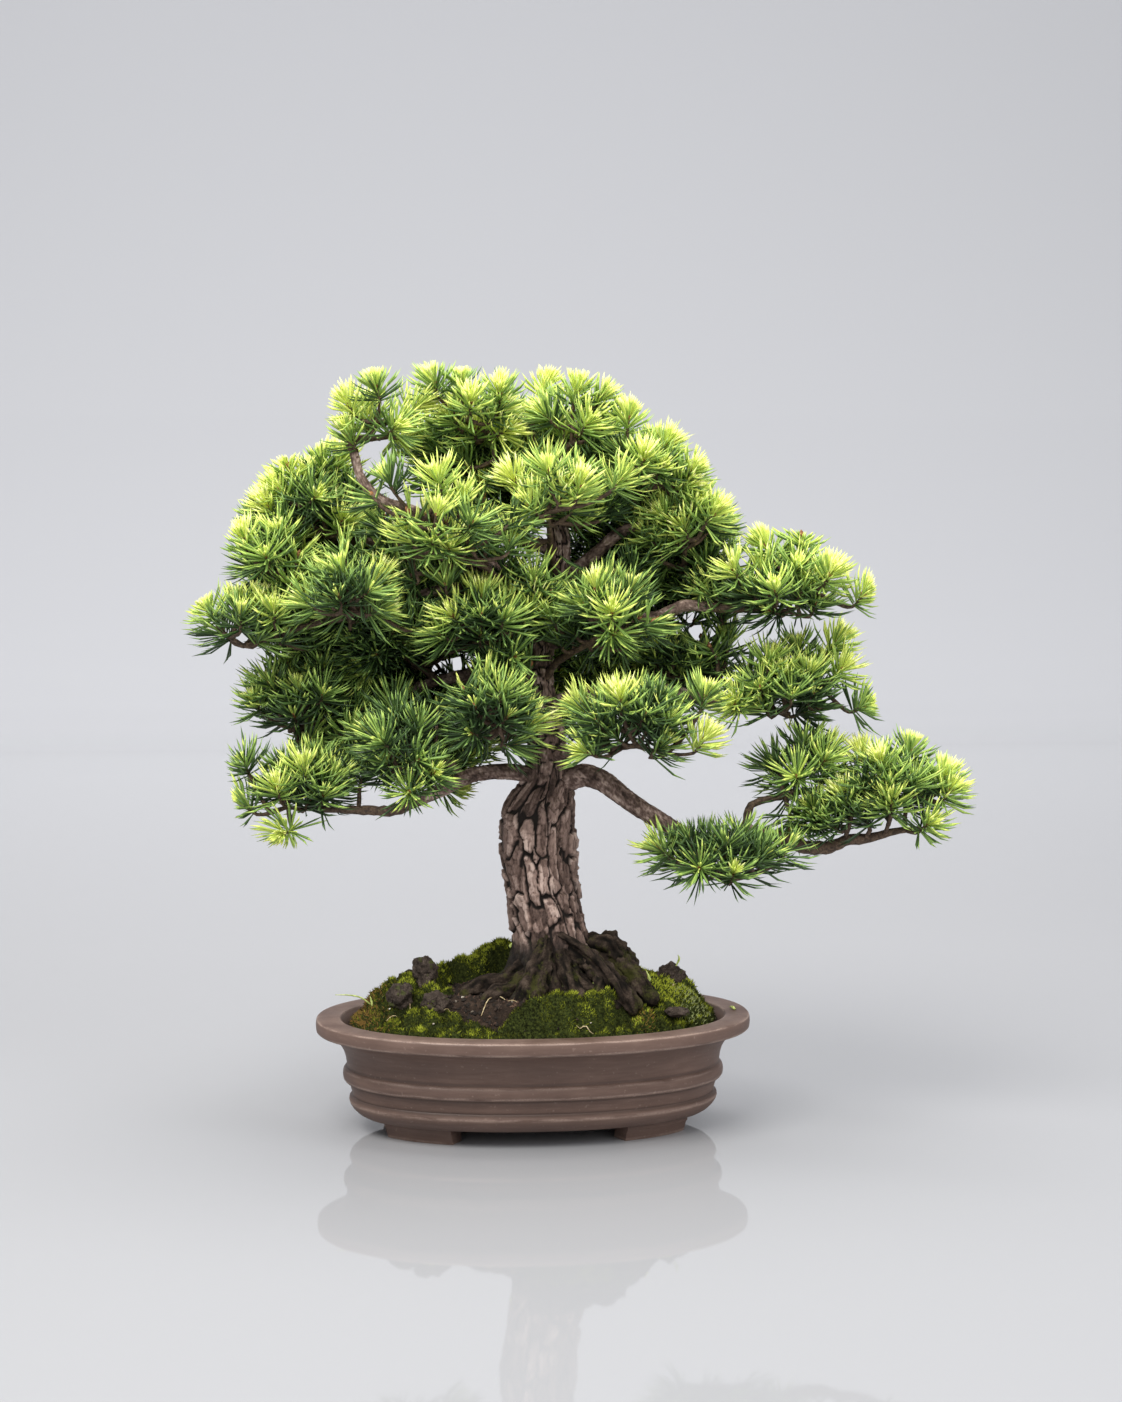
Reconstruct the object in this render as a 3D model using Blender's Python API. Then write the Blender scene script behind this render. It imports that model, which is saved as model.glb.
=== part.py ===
"""A pine bonsai in an oval clay pot, each piece as its own solid. Metres, +Z up.

The pot's long axis is X and the front of the tree faces -Y. The origin is on the surface the pot stands on,
under the middle of the box round the whole plant. POT_PLACE gives the pot's own centre from there.
Sizes below are in millimetres and are scaled to metres when a mesh is made.
"""

import math
import random

import bpy
import bmesh
import numpy as np
from mathutils import Matrix, Vector

MM = 0.001
GAP = 0.3  # left between pieces that touch
UP = Vector((0, 0, 1))

# The pot, an oval one with a broad lip, two raised bands and four bracket feet
POT_PLACE = (-28.04, -7.48)  # its centre, from the middle of the whole plant's box
POT_LENGTH = 300.0
POT_DEPTH = 188.0
POT_SQUARENESS = 2.15  # 2 is a true ellipse, more is squarer
POT_SIDES = 36
FOOT_HEIGHT = 10.0
RIM_TOP = 78.0
RIM_WIDTH = 17.5
LIP_HEIGHT = 9.0
WALL = 7.0
POT_FLOOR = 18.0
FOOT_SPAN = (27.0, 62.0)  # degrees round the oval, from its long end
FOOT_THICK = 13.0
FOOT_TAPER = 0.975  # of the pot's outline above them, at the feet's soles

# Soil, heaped up to the flat seat that the trunk is cut to
SOIL_EDGE = 73.0
SOIL_LAYERS = (30.0, 50.0, 65.0)
SOIL_SHARES = (1.0, 0.965, 0.87, 0.76, 0.66, 0.54, 0.30)  # rings of its top, as shares of the way to the rim
SEAT_HEIGHT = 96.0
SEAT_CENTRE = (14.0, 0.0)
SEAT_RADIUS = 57.0
SEAT_SLOPE = 14.0  # width in which the flat seat runs out into the heaped soil

# The tree, whose front is turned a little from the pot's long side
TREE_TURN = math.radians(-4.4)
TRUNK_SIDES = 16
BOUGH_SIDES = 6
BOUGH_STEP = 17.0  # between a bough's rings
TRUNK_COURSE = (  # across, back, up, radius
    (10, 0, 96.3, 31.0), (11, 0, 103, 29.0), (12.5, 0, 112, 27.0), (13.5, 0, 124, 26.0), (13, 0, 138, 25.5),
    (9, 0, 160, 25.0), (5, 0, 182, 25.5), (4, 0, 204, 26.0), (5, 0, 220, 25.0), (7, 0, 231, 21.5),
    (10, 0, 243, 17.0), (10, 1, 258, 14.5), (8, 2, 278, 12.5), (4, 3, 300, 11.0), (3, 4, 322, 10.0),
    (8, 5, 349, 9.0), (15, 5, 376, 8.0), (18, 3, 404, 6.8), (13, 0, 431, 5.4), (5, -2, 456, 4.2),
    (-2, -3, 474, 3.2),
)
ROOTS = (  # direction in degrees (0 to the right, -90 to the front), reach at the ground, width in radians
    (-118, 15.0, 0.30), (-68, 20.0, 0.34), (-22, 27.0, 0.36), (38, 21.0, 0.36), (108, 16.0, 0.40),
    (178, 9.0, 0.40),
)
ROOT_FALL = 17.0  # height in which a root sinks to a third of its reach

# Boughs: where each leaves the trunk or another bough, its course, and its radius at both ends
BOUGHS = {
    "bough_low_right": ("trunk", 8.5, 4.4, (
        (12, 0, 232), (30, -8, 244), (46, -15, 242), (66, -22, 228), (87, -28, 215), (108, -31, 204),
        (127, -29, 203), (146, -25, 209))),
    "bough_low_right_spur": ("bough_low_right", 3.6, 2.6, (
        (92, -29, 212), (98, -42, 203), (104, -52, 196))),
    "bough_low_left": ("trunk", 6.0, 4.2, (
        (8, 0, 243), (-18, -14, 248), (-42, -27, 247), (-62, -37, 238), (-80, -42, 231))),
    "bough_mid_left": ("trunk", 5.2, 3.6, (
        (6, 3, 306), (-28, 6, 314), (-62, 12, 309), (-88, 16, 301))),
    "bough_left_far": ("trunk", 5.0, 3.0, (
        (8, 5, 352), (-26, -14, 369), (-60, -26, 372), (-94, -32, 362), (-128, -34, 354))),
    "bough_shoulder_left": ("trunk", 5.6, 3.6, (
        (14, 5, 372), (-30, 22, 386), (-66, 24, 395), (-96, 20, 402), (-122, 16, 404))),
    "bough_upper_left": ("trunk", 5.0, 3.0, (
        (18, 3, 398), (-22, -16, 408), (-58, -30, 417), (-84, -36, 426), (-102, -37, 433), (-114, -35, 446),
        (-119, -33, 462))),
    "bough_upper_right": ("trunk", 5.4, 3.6, (
        (17, 5, 376), (40, -8, 394), (58, -14, 410), (78, -12, 418))),
    "bough_right_upper": ("trunk", 5.8, 3.8, (
        (5, 5, 334), (40, -6, 342), (69, -12, 350), (86, -14, 354), (102, -16, 361), (118, -16, 360))),
    "bough_right_middle": ("trunk", 5.4, 3.6, (
        (6, 3, 292), (46, 16, 300), (86, 16, 302), (118, 8, 296))),
    "bough_front_right": ("trunk", 5.4, 3.8, (
        (10, 1, 254), (26, -24, 262), (44, -40, 266))),
    "bough_front_left": ("trunk", 4.2, 3.0, (
        (9, 2, 272), (2, -22, 282), (-10, -40, 286))),
    "bough_back_low": ("trunk", 5.2, 3.6, (
        (10, 2, 262), (8, 30, 270), (4, 58, 276))),
    "bough_back_left": ("trunk", 4.8, 3.2, (
        (4, 4, 318), (-18, 34, 330), (-44, 58, 338))),
    "bough_back_right": ("trunk", 4.8, 3.2, (
        (11, 5, 358), (38, 34, 370), (66, 54, 376))),
}

# Masses: the limb whose tip or side the stem meets, centre, half sizes, number of shoots, seed
MASSES = {
    "mass_apex": ("trunk", (-32, -6, 487), (46, 46, 40), 7, 1),
    "mass_apex_left": ("bough_upper_left", (-106, -26, 488), (38, 44, 40), 5, 2),
    "mass_apex_right": ("trunk@0.93", (31, -6, 485), (39, 44, 40), 5, 3),
    "mass_apex_back": ("trunk@0.87", (-14, 54, 458), (64, 44, 46), 6, 4),
    "mass_shoulder_right": ("trunk@0.86", (80, -16, 453), (40, 46, 40), 5, 5),
    "mass_right_brow": ("bough_upper_right", (108, -14, 415), (40, 46, 36), 5, 6),
    "mass_centre_upper": ("trunk@0.80", (10, -48, 430), (50, 38, 38), 5, 7),
    "mass_centre_left": ("bough_upper_left@0.42", (-58, -60, 408), (54, 38, 42), 6, 8),
    "mass_left_crown": ("bough_shoulder_left", (-162, 2, 430), (44, 48, 38), 6, 9),
    "mass_left_brow": ("bough_shoulder_left@0.93", (-146, 50, 392), (50, 40, 38), 4, 10),
    "mass_left_outer": ("bough_left_far@0.97", (-176, -26, 390), (38, 40, 30), 3, 11),
    "mass_left_far": ("bough_left_far", (-188, -34, 345), (50, 40, 28), 5, 12),
    "mass_left_middle": ("bough_left_far@0.80", (-120, -60, 366), (46, 36, 32), 4, 13),
    "mass_left_inner": ("bough_mid_left@0.75", (-104, 20, 344), (58, 44, 36), 5, 14),
    "mass_low_left_upper": ("bough_mid_left", (-166, 2, 290), (46, 46, 32), 5, 15),
    "mass_low_left_outer": ("bough_low_left", (-158, -38, 231), (54, 44, 40), 7, 16),
    "mass_low_left_inner": ("bough_low_left@0.60", (-88, -62, 266), (42, 40, 40), 5, 17),
    "mass_low_left_back": ("bough_mid_left@0.55", (-90, 46, 262), (56, 44, 42), 5, 18),
    "mass_front_left": ("bough_front_left", (-26, -62, 290), (40, 40, 40), 5, 19),
    "mass_front_right": ("bough_front_right", (66, -66, 280), (58, 44, 38), 7, 20),
    "mass_centre_low": ("trunk@0.62", (-32, -44, 348), (50, 40, 32), 5, 21),
    "mass_centre_right": ("trunk@0.66", (50, -48, 354), (44, 38, 36), 5, 22),
    "mass_right_upper": ("bough_right_upper", (172, -20, 374), (66, 46, 42), 9, 23),
    "mass_right_middle": ("bough_right_middle", (172, -6, 298), (60, 48, 42), 7, 24),
    "mass_low_right_crown": ("bough_low_right@0.97", (178, -12, 246), (37, 40, 42), 5, 25),
    "mass_low_right_outer": ("bough_low_right", (242, -24, 233), (56, 42, 39), 7, 26),
    "mass_low_right_hanging": ("bough_low_right_spur", (124, -58, 188), (62, 38, 31), 6, 27),
    "mass_back_left": ("bough_back_left", (-76, 78, 350), (58, 46, 50), 6, 28),
    "mass_back_right": ("bough_back_right", (92, 68, 386), (58, 48, 48), 6, 29),
    "mass_back_low": ("bough_back_low", (6, 86, 294), (62, 44, 46), 7, 30),
    "mass_back_low_right": ("bough_right_middle@0.62", (96, 58, 302), (46, 44, 38), 4, 31),
}

# Shoots: a slim core with rows of needles that stand out of it
NEEDLE = 30.0
SHORTEST_NEEDLE = 0.42  # of a needle's length: a shorter one is left out
SHOOT_SPACING = 24.0
SHOOT_SIDES = 4
CORE_FOOT = 2.5  # radius where the twig ends and the shoot begins
CORE_HEAD = (9.0, 3.8)  # along the shoot, radius
CORE_LENGTH = 16.0
NEEDLE_LEANS = (94.0, 60.0, 24.0)  # degrees from the shoot's axis: low, middle and top needles
NEEDLE_ROOM = 1.9  # kept between a needle's axis and a limb's bark
TWIG_ROOM = 2.2
SHORTEST_TWIG = 7.0
STRAIGHT_TWIG = 30.0  # the longest twig that has no bend in it
STEM_STEP = 15.0
PARENT_TRIES = 3
TWIG_BEND = 0.2  # cosine of the sharpest bend from a twig to its shoot
SITE_TRIES = 50
SHOOT_SINK = 5.0  # that shoots' feet lie below the middle of their tips' spread
SITE_MARGIN = 22.0  # from a mass's outer skin to the feet of its shoots
MASS_SQUARENESS = 2.6  # 2 is an ellipsoid, more is fuller at its corners
EDGE_SHARE = 0.05  # of a mass's half size, left free where two masses meet
STEM_RADII = (3.0, 1.7)
STEM_SIDES = 4
STEM_STRAIGHT = 3.0  # that a stem runs on in line with its limb
TWIG_RADII = (1.8, 1.5)

# Ground cover and stones, placed in the tree's frame, but for the blankets that follow the soil
BLANKET_EDGE = 0.7
BLANKETS = {  # from, to (degrees), from, to (share of the way to the rim), thickness, colour
    "moss_front": (218, 318, 0.70, 0.97, 4.0, (0.16, 0.24, 0.06)),
    "moss_left": (158, 206, 0.75, 0.97, 3.5, (0.30, 0.27, 0.10)),
    "moss_right": (328, 382, 0.62, 0.97, 4.5, (0.28, 0.36, 0.10)),
}
STONES = {  # centre, half sizes, turn in degrees, seed, colour
    "stone_knob": ((-75, -2, 106), (10, 9, 14), 20, 41, (0.20, 0.15, 0.12)),
    "stone_fan": ((-91, -24, 95), (10, 7, 11), -25, 42, (0.07, 0.06, 0.05)),
    "stone_grainy": ((-66, -42, 93), (10, 7, 10), 10, 43, (0.06, 0.05, 0.05)),
    "stone_mossy": ((-88, 25, 92), (9, 8, 9), 5, 44, (0.15, 0.16, 0.09)),
    "stone_wedge": ((95, 10, 100), (11, 8, 10), 15, 45, (0.22, 0.19, 0.16)),
}
MOSS_MOUND = ((-26, 36, 100), (17, 17, 19))
BURL_COURSE = (  # across, back, up, radius
    (30, -6, 121, 8.0), (44, -8, 127, 11.5), (54, -10, 124, 11.5), (63, -12, 113, 9.5), (72, -14, 103, 7.5),
    (81, -16, 95, 5.0),
)
BURL_SIDES = 10

CLAY = (0.105, 0.075, 0.060)
EARTH = (0.045, 0.030, 0.022)
BARK = (0.19, 0.13, 0.10)
OLD_ROOT = (0.07, 0.05, 0.04)
NEEDLES = (0.14, 0.27, 0.06)


def clear_scene():
    for obj in list(bpy.data.objects):
        bpy.data.objects.remove(obj, do_unlink=True)


def blend(low, high, value):
    """Runs smoothly from 0 at low to 1 at high."""
    share = min(1.0, max(0.0, (value - low) / (high - low)))
    return share * share * (3.0 - 2.0 * share)


def finish(name, colour, roughness):
    material = bpy.data.materials.new(name)
    material.use_nodes = True
    shader = material.node_tree.nodes["Principled BSDF"]
    shader.inputs["Base Color"].default_value = (*colour, 1.0)
    shader.inputs["Roughness"].default_value = roughness
    shader.inputs["Metallic"].default_value = 0.0
    return material


def holder(name, parent=None, location=(0, 0, 0), turn=0.0):
    """An empty that carries a group of pieces."""
    empty = bpy.data.objects.new(name, None)
    empty.parent = parent
    empty.location = [MM * value for value in location]
    empty.rotation_euler = (0, 0, turn)
    bpy.context.scene.collection.objects.link(empty)
    return empty


def solid(name, points, faces, parent, material=None):
    """A mesh object of triangles, from points in millimetres."""
    mesh = bpy.data.meshes.new(name)
    mesh.from_pydata([MM * Vector(point) for point in points], [], faces)
    bm = bmesh.new()
    bm.from_mesh(mesh)
    bmesh.ops.triangulate(bm, faces=bm.faces)
    bm.to_mesh(mesh)
    bm.free()
    obj = bpy.data.objects.new(name, mesh)
    obj.parent = parent
    if material:
        mesh.materials.append(material)
    bpy.context.scene.collection.objects.link(obj)
    return obj


def bake(obj):
    """Applies an object's modifiers."""
    bpy.context.view_layer.update()
    evaluated = obj.evaluated_get(bpy.context.evaluated_depsgraph_get())
    mesh = bpy.data.meshes.new_from_object(evaluated)
    obj.modifiers.clear()
    old = obj.data
    obj.data = mesh
    bpy.data.meshes.remove(old)


def keep_largest(obj):
    """Drops the scraps that a Boolean leaves, and welds its doubled points."""
    bm = bmesh.new()
    bm.from_mesh(obj.data)
    bmesh.ops.remove_doubles(bm, verts=bm.verts, dist=0.002 * MM)
    bmesh.ops.dissolve_degenerate(bm, edges=bm.edges, dist=0.002 * MM)
    unseen = set(bm.verts)
    islands = []
    while unseen:
        front = [unseen.pop()]
        island = list(front)
        while front:
            vert = front.pop()
            for edge in vert.link_edges:
                other = edge.other_vert(vert)
                if other in unseen:
                    unseen.remove(other)
                    front.append(other)
                    island.append(other)
        islands.append(island)
    islands.sort(key=len)
    for island in islands[:-1]:
        bmesh.ops.delete(bm, geom=island, context="VERTS")
    bm.to_mesh(obj.data)
    bm.free()


def swollen(obj, by):
    """A copy whose skin is pushed out, for cutting a neighbour clear."""
    copy = obj.copy()
    copy.data = obj.data.copy()
    bpy.context.scene.collection.objects.link(copy)
    normals = [vertex.normal.copy() for vertex in copy.data.vertices]
    for vertex, normal in zip(copy.data.vertices, normals):
        vertex.co += by * MM * normal
    return copy


def cut_clear(obj, neighbours):
    """Cuts an object clear of its neighbours, with a small gap."""
    cutters = [swollen(neighbour, GAP * 1.25) for neighbour in neighbours]
    for cutter in cutters:
        modifier = obj.modifiers.new("cut", "BOOLEAN")
        modifier.operation = "DIFFERENCE"
        modifier.solver = "EXACT"
        modifier.object = cutter
    bake(obj)
    for cutter in cutters:
        bpy.data.objects.remove(cutter, do_unlink=True)
    keep_largest(obj)


def ring_faces(rings, sides):
    """Faces between rings of equal size, with a flat cap on each end. The rings run from the foot up."""
    faces = [tuple(reversed(range(sides)))]
    for ring in range(rings - 1):
        for side in range(sides):
            after = (side + 1) % sides
            low, high = ring * sides, (ring + 1) * sides
            faces.append((low + side, low + after, high + after, high + side))
    last = (rings - 1) * sides
    faces.append(tuple(range(last, last + sides)))
    return faces


def catmull(points, spacing):
    """Points a set distance apart on a smooth curve through the given ones."""
    points = [Vector(point) for point in points]
    padded = [2 * points[0] - points[1], *points, 2 * points[-1] - points[-2]]
    fine = [points[0]]
    for p0, p1, p2, p3 in zip(padded, padded[1:], padded[2:], padded[3:]):
        for step in range(1, 13):
            t = step / 12
            fine.append(0.5 * ((2 * p1) + (p2 - p0) * t + (2 * p0 - 5 * p1 + 4 * p2 - p3) * t * t
                               + (3 * p1 - p0 - 3 * p2 + p3) * t * t * t))
    lengths = [0.0]
    for before, after in zip(fine, fine[1:]):
        lengths.append(lengths[-1] + (after - before).length)
    count = max(2, round(lengths[-1] / spacing))
    course = []
    index = 0
    for step in range(count + 1):
        target = lengths[-1] * step / count
        while index < len(fine) - 2 and lengths[index + 1] < target:
            index += 1
        share = (target - lengths[index]) / max(1e-9, lengths[index + 1] - lengths[index])
        course.append(fine[index].lerp(fine[index + 1], share))
    return course


def tapered(course, first, last):
    """Gives each point of a course its radius."""
    steps = len(course) - 1
    return [(point, first + (last - first) * step / steps) for step, point in enumerate(course)]


def tube(limb, sides):
    """Points and faces of a closed tube along a limb, with its rings square to it."""
    points = []
    centres = [point for point, radius in limb]
    side_way = None
    for index, (centre, radius) in enumerate(limb):
        along = (centres[min(index + 1, len(limb) - 1)] - centres[max(index - 1, 0)]).normalized()
        if side_way is None:
            side_way = along.orthogonal().normalized()
        side_way = (side_way - along * side_way.dot(along)).normalized()
        other_way = along.cross(side_way)
        for side in range(sides):
            angle = 2 * math.pi * side / sides
            points.append(centre + radius * (math.cos(angle) * side_way + math.sin(angle) * other_way))
    return points, ring_faces(len(limb), sides)


def oval(share_x, share_y, squareness, count):
    """Points round an oval that is a little squarer than an ellipse, from +X to the left."""
    points = []
    for index in range(count):
        angle = 2 * math.pi * index / count
        cosine, sine = math.cos(angle), math.sin(angle)
        x = share_x * math.copysign(abs(cosine) ** (2 / squareness), cosine)
        y = share_y * math.copysign(abs(sine) ** (2 / squareness), sine)
        points.append((x, y))
    return points


def pot_outside():
    """The pot's outer side, from under its edge up to the rim: half length, height."""
    band = 129.0
    foot = FOOT_HEIGHT
    lip = RIM_TOP - LIP_HEIGHT
    half = POT_LENGTH / 2
    return (
        (band - 15.0, foot), (band - 7.0, foot + 3.0), (band - 2.0, foot + 9.0), (band - 1.5, foot + 13.0),
        (band - 3.5, foot + 14.5), (band - 1.0, foot + 24.0),
        (band + 2.2, foot + 26.0), (band + 2.5, foot + 32.0),
        (band, foot + 35.0), (band + 2.0, foot + 45.0), (band + 8.0, lip - 5.0), (half - 1.2, lip - 0.4),
        (half, lip + 1.2), (half, RIM_TOP - 1.4), (half - 1.2, RIM_TOP),
    )


def pot_inside():
    """The pot's inner side, from the rim down to its floor."""
    inner = POT_LENGTH / 2 - RIM_WIDTH
    return (
        (inner + 1.5, RIM_TOP), (inner, RIM_TOP - 1.5), (inner - 6.5, RIM_TOP - 13.0),
        (inner - 10.5, RIM_TOP - 28.0), (inner - 14.0, RIM_TOP - 48.0), (inner - 20.0, POT_FLOOR),
    )


def inside_reach(height):
    """The half length of the pot's inside at a height."""
    profile = pot_inside()
    for (high_reach, high), (low_reach, low) in zip(profile, profile[1:]):
        if low <= height <= high and high > low:
            return low_reach + (high_reach - low_reach) * (height - low) / (high - low)
    return profile[-1][0]


def oval_at(reach, count=POT_SIDES):
    """An oval of the pot's kind with a given half length."""
    return oval(reach, reach - (POT_LENGTH - POT_DEPTH) / 2, POT_SQUARENESS, count)


def make_pot(parent):
    rings = [(pot_outside()[0][0] - FOOT_THICK, FOOT_HEIGHT), *pot_outside(), *pot_inside()]
    points = []
    for reach, height in rings:
        points += [(x, y, height) for x, y in oval_at(reach)]
    faces = ring_faces(len(rings), POT_SIDES)
    # The first row of faces is the ring under the pot's edge that the feet hang from
    first, last = FOOT_SPAN
    soles = {}
    for side in range(POT_SIDES):
        middle = math.degrees(2 * math.pi * (side + 0.5) / POT_SIDES) % 180
        if first < min(middle, 180 - middle) < last:
            soles[side] = faces[1 + side]
    lowered = {}
    for corner in sorted({corner for face in soles.values() for corner in face}):
        x, y, height = points[corner]
        lowered[corner] = len(points)
        points.append((x * FOOT_TAPER, y * FOOT_TAPER, height - FOOT_HEIGHT))
    for side, face in soles.items():
        faces.remove(face)
        faces.append(tuple(lowered[corner] for corner in face))
        for start, end in zip(face, face[1:] + face[:1]):
            shared = any(start in other and end in other for key, other in soles.items() if key != side)
            if not shared:
                faces.append((start, end, lowered[end], lowered[start]))
    return solid("pot", points, faces, parent, finish("clay", CLAY, 0.75))


def soil_height(x, y, share):
    """Height of the soil at a point of the pot, where share is how far it lies on the way to the rim."""
    heaped = SOIL_EDGE + (SEAT_HEIGHT - SOIL_EDGE) * blend(0.0, 0.46, 1.0 - share)
    lumps = 1.1 * math.sin(0.11 * x + 0.6) * math.cos(0.13 * y - 0.4) + 0.6 * math.sin(0.29 * x - 0.17 * y)
    heaped -= (1.0 + 0.55 * lumps) * blend(0.0, 0.2, 1.0 - share)
    away = math.hypot(x - SEAT_CENTRE[0], y - SEAT_CENTRE[1])
    return SEAT_HEIGHT + (heaped - SEAT_HEIGHT) * blend(SEAT_RADIUS, SEAT_RADIUS + SEAT_SLOPE, away)


def soil_point(ring, side, lift=0.0):
    """A point of the soil's top, by its ring and its place round it."""
    reach = inside_reach(SOIL_EDGE) - GAP
    share = SOIL_SHARES[ring]
    x, y = oval_at(reach)[side % POT_SIDES]
    return (x * share, y * share, soil_height(x * share, y * share, share) + lift)


def make_soil(parent):
    points = []
    heights = (POT_FLOOR + GAP, *SOIL_LAYERS)
    for height in heights:
        points += [(x, y, height) for x, y in oval_at(inside_reach(height) - 1.5 * GAP)]
    for ring in range(len(SOIL_SHARES)):
        points += [soil_point(ring, side) for side in range(POT_SIDES)]
    count = len(heights) + len(SOIL_SHARES)
    faces = ring_faces(count, POT_SIDES)
    split = []
    for face in faces:
        if len(face) == 4:
            split += [(face[0], face[1], face[2]), (face[0], face[2], face[3])]
        else:
            split.append(face)
    return solid("soil", points, split, parent, finish("soil", EARTH, 0.95))


def make_blanket(name, parent, first, last, inner, outer, thickness, colour):
    """A moss blanket on the soil, on the same points as the soil's top so that it follows it."""
    rings = [ring for ring, share in enumerate(SOIL_SHARES) if inner <= share <= outer]
    step = 360 / POT_SIDES
    sides = range(round(first / step), round(last / step) + 1)
    low, high = {}, {}
    points, faces = [], []
    for i, ring in enumerate(rings):
        for j, side in enumerate(sides):
            inwards = math.sin(math.pi * (i + 0.5) / len(rings)) ** 0.4
            along = math.sin(math.pi * (j + 0.5) / len(sides)) ** 0.3
            rough = 0.8 + 0.3 * math.sin(2.3 * side + 1.9 * ring)
            low[i, j] = len(points)
            points.append(soil_point(ring, side, GAP))
            high[i, j] = len(points)
            points.append(soil_point(ring, side, GAP + BLANKET_EDGE + thickness * inwards * along * rough))
    rows, columns = len(rings), len(sides)
    for i in range(rows - 1):
        for j in range(columns - 1):
            a, b, c, d = (i, j), (i, j + 1), (i + 1, j + 1), (i + 1, j)
            faces += [(low[c], low[b], low[a]), (low[d], low[c], low[a])]
            faces += [(high[a], high[b], high[c]), (high[a], high[c], high[d])]
    edge = [(i, 0) for i in range(rows)] + [(rows - 1, j) for j in range(1, columns)]
    edge += [(i, columns - 1) for i in range(rows - 2, -1, -1)] + [(0, j) for j in range(columns - 2, 0, -1)]
    for here, there in zip(edge, edge[1:] + edge[:1]):
        faces.append((low[there], low[here], high[here], high[there]))
    moss = solid(name, points, faces, parent, finish(name, colour, 0.95))
    turn_out(moss)
    return moss


def turn_out(obj):
    """Points an object's faces outwards."""
    bm = bmesh.new()
    bm.from_mesh(obj.data)
    bmesh.ops.recalc_face_normals(bm, faces=bm.faces)
    bm.to_mesh(obj.data)
    bm.free()


def trunk_radius(radius, angle, height):
    """The trunk's radius in a direction, with its roots spreading at the ground and shallow flutes above."""
    foot = TRUNK_COURSE[0][2]
    fall = math.exp(-(height - foot) / ROOT_FALL)
    for direction, reach, width in ROOTS:
        away = (angle - math.radians(direction) + math.pi) % (2 * math.pi) - math.pi
        radius += reach * fall * math.exp(-(away / width) ** 2)
    return radius * (1 + 0.035 * math.sin(3 * angle + height / 26) + 0.02 * math.sin(5 * angle - height / 17))


def make_trunk(parent):
    points = []
    for across, back, up, radius in TRUNK_COURSE:
        for side in range(TRUNK_SIDES):
            angle = 2 * math.pi * side / TRUNK_SIDES
            reach = trunk_radius(radius, angle, up)
            points.append((across + reach * math.cos(angle), back + reach * math.sin(angle), up))
    faces = ring_faces(len(TRUNK_COURSE), TRUNK_SIDES)
    return solid("trunk", points, faces, parent, finish("trunk_bark", BARK, 0.9))


def limb_courses():
    """Every limb as a list of points and radii."""
    limbs = {"trunk": [(Vector(point[:3]), point[3]) for point in TRUNK_COURSE]}
    for name, (parent, first, last, points) in BOUGHS.items():
        limbs[name] = tapered(catmull(points, BOUGH_STEP), first, last)
    return limbs


def make_lump(name, parent, centre, half_sizes, turn, seed, colour, bumpiness=0.2):
    """An uneven round lump, for a stone or a mound."""
    chance = random.Random(seed)
    mesh = bmesh.new()
    bmesh.ops.create_icosphere(mesh, subdivisions=2, radius=1.0)
    ways = [Vector((chance.uniform(-1, 1), chance.uniform(-1, 1), chance.uniform(-1, 1))) for _ in range(7)]
    spin = Matrix.Rotation(math.radians(turn), 3, "Z")
    for vert in mesh.verts:
        push = sum(math.sin(3.1 * vert.co.dot(way) + 2 * way.x) for way in ways) / len(ways)
        shape = vert.co * (1 + bumpiness * 2 * push)
        vert.co = spin @ Vector([shape[axis] * half_sizes[axis] for axis in range(3)]) + Vector(centre)
    mesh.verts.ensure_lookup_table()
    points = [vert.co.copy() for vert in mesh.verts]
    faces = [tuple(vert.index for vert in face.verts) for face in mesh.faces]
    mesh.free()
    return solid(name, points, faces, parent, finish(name, colour, 0.9))


def make_burl(parent):
    """The knuckled root that leaves the trunk's right side and runs into the soil."""
    fine = catmull([Vector(point[:3]) for point in BURL_COURSE], 7.0)
    limb = []
    for step, point in enumerate(fine):
        place = (len(BURL_COURSE) - 1) * step / (len(fine) - 1)
        index = min(int(place), len(BURL_COURSE) - 2)
        radius = BURL_COURSE[index][3] + (BURL_COURSE[index + 1][3] - BURL_COURSE[index][3]) * (place - index)
        limb.append((point, radius))
    points, faces = tube(limb, BURL_SIDES)
    chance = random.Random(7)
    centres = [centre for centre, radius in limb for _ in range(BURL_SIDES)]
    rough = [centre + (point - centre) * chance.uniform(0.82, 1.12) for centre, point in zip(centres, points)]
    return solid("root_burl", rough, faces, parent, finish("burl_bark", OLD_ROOT, 0.9))


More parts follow.
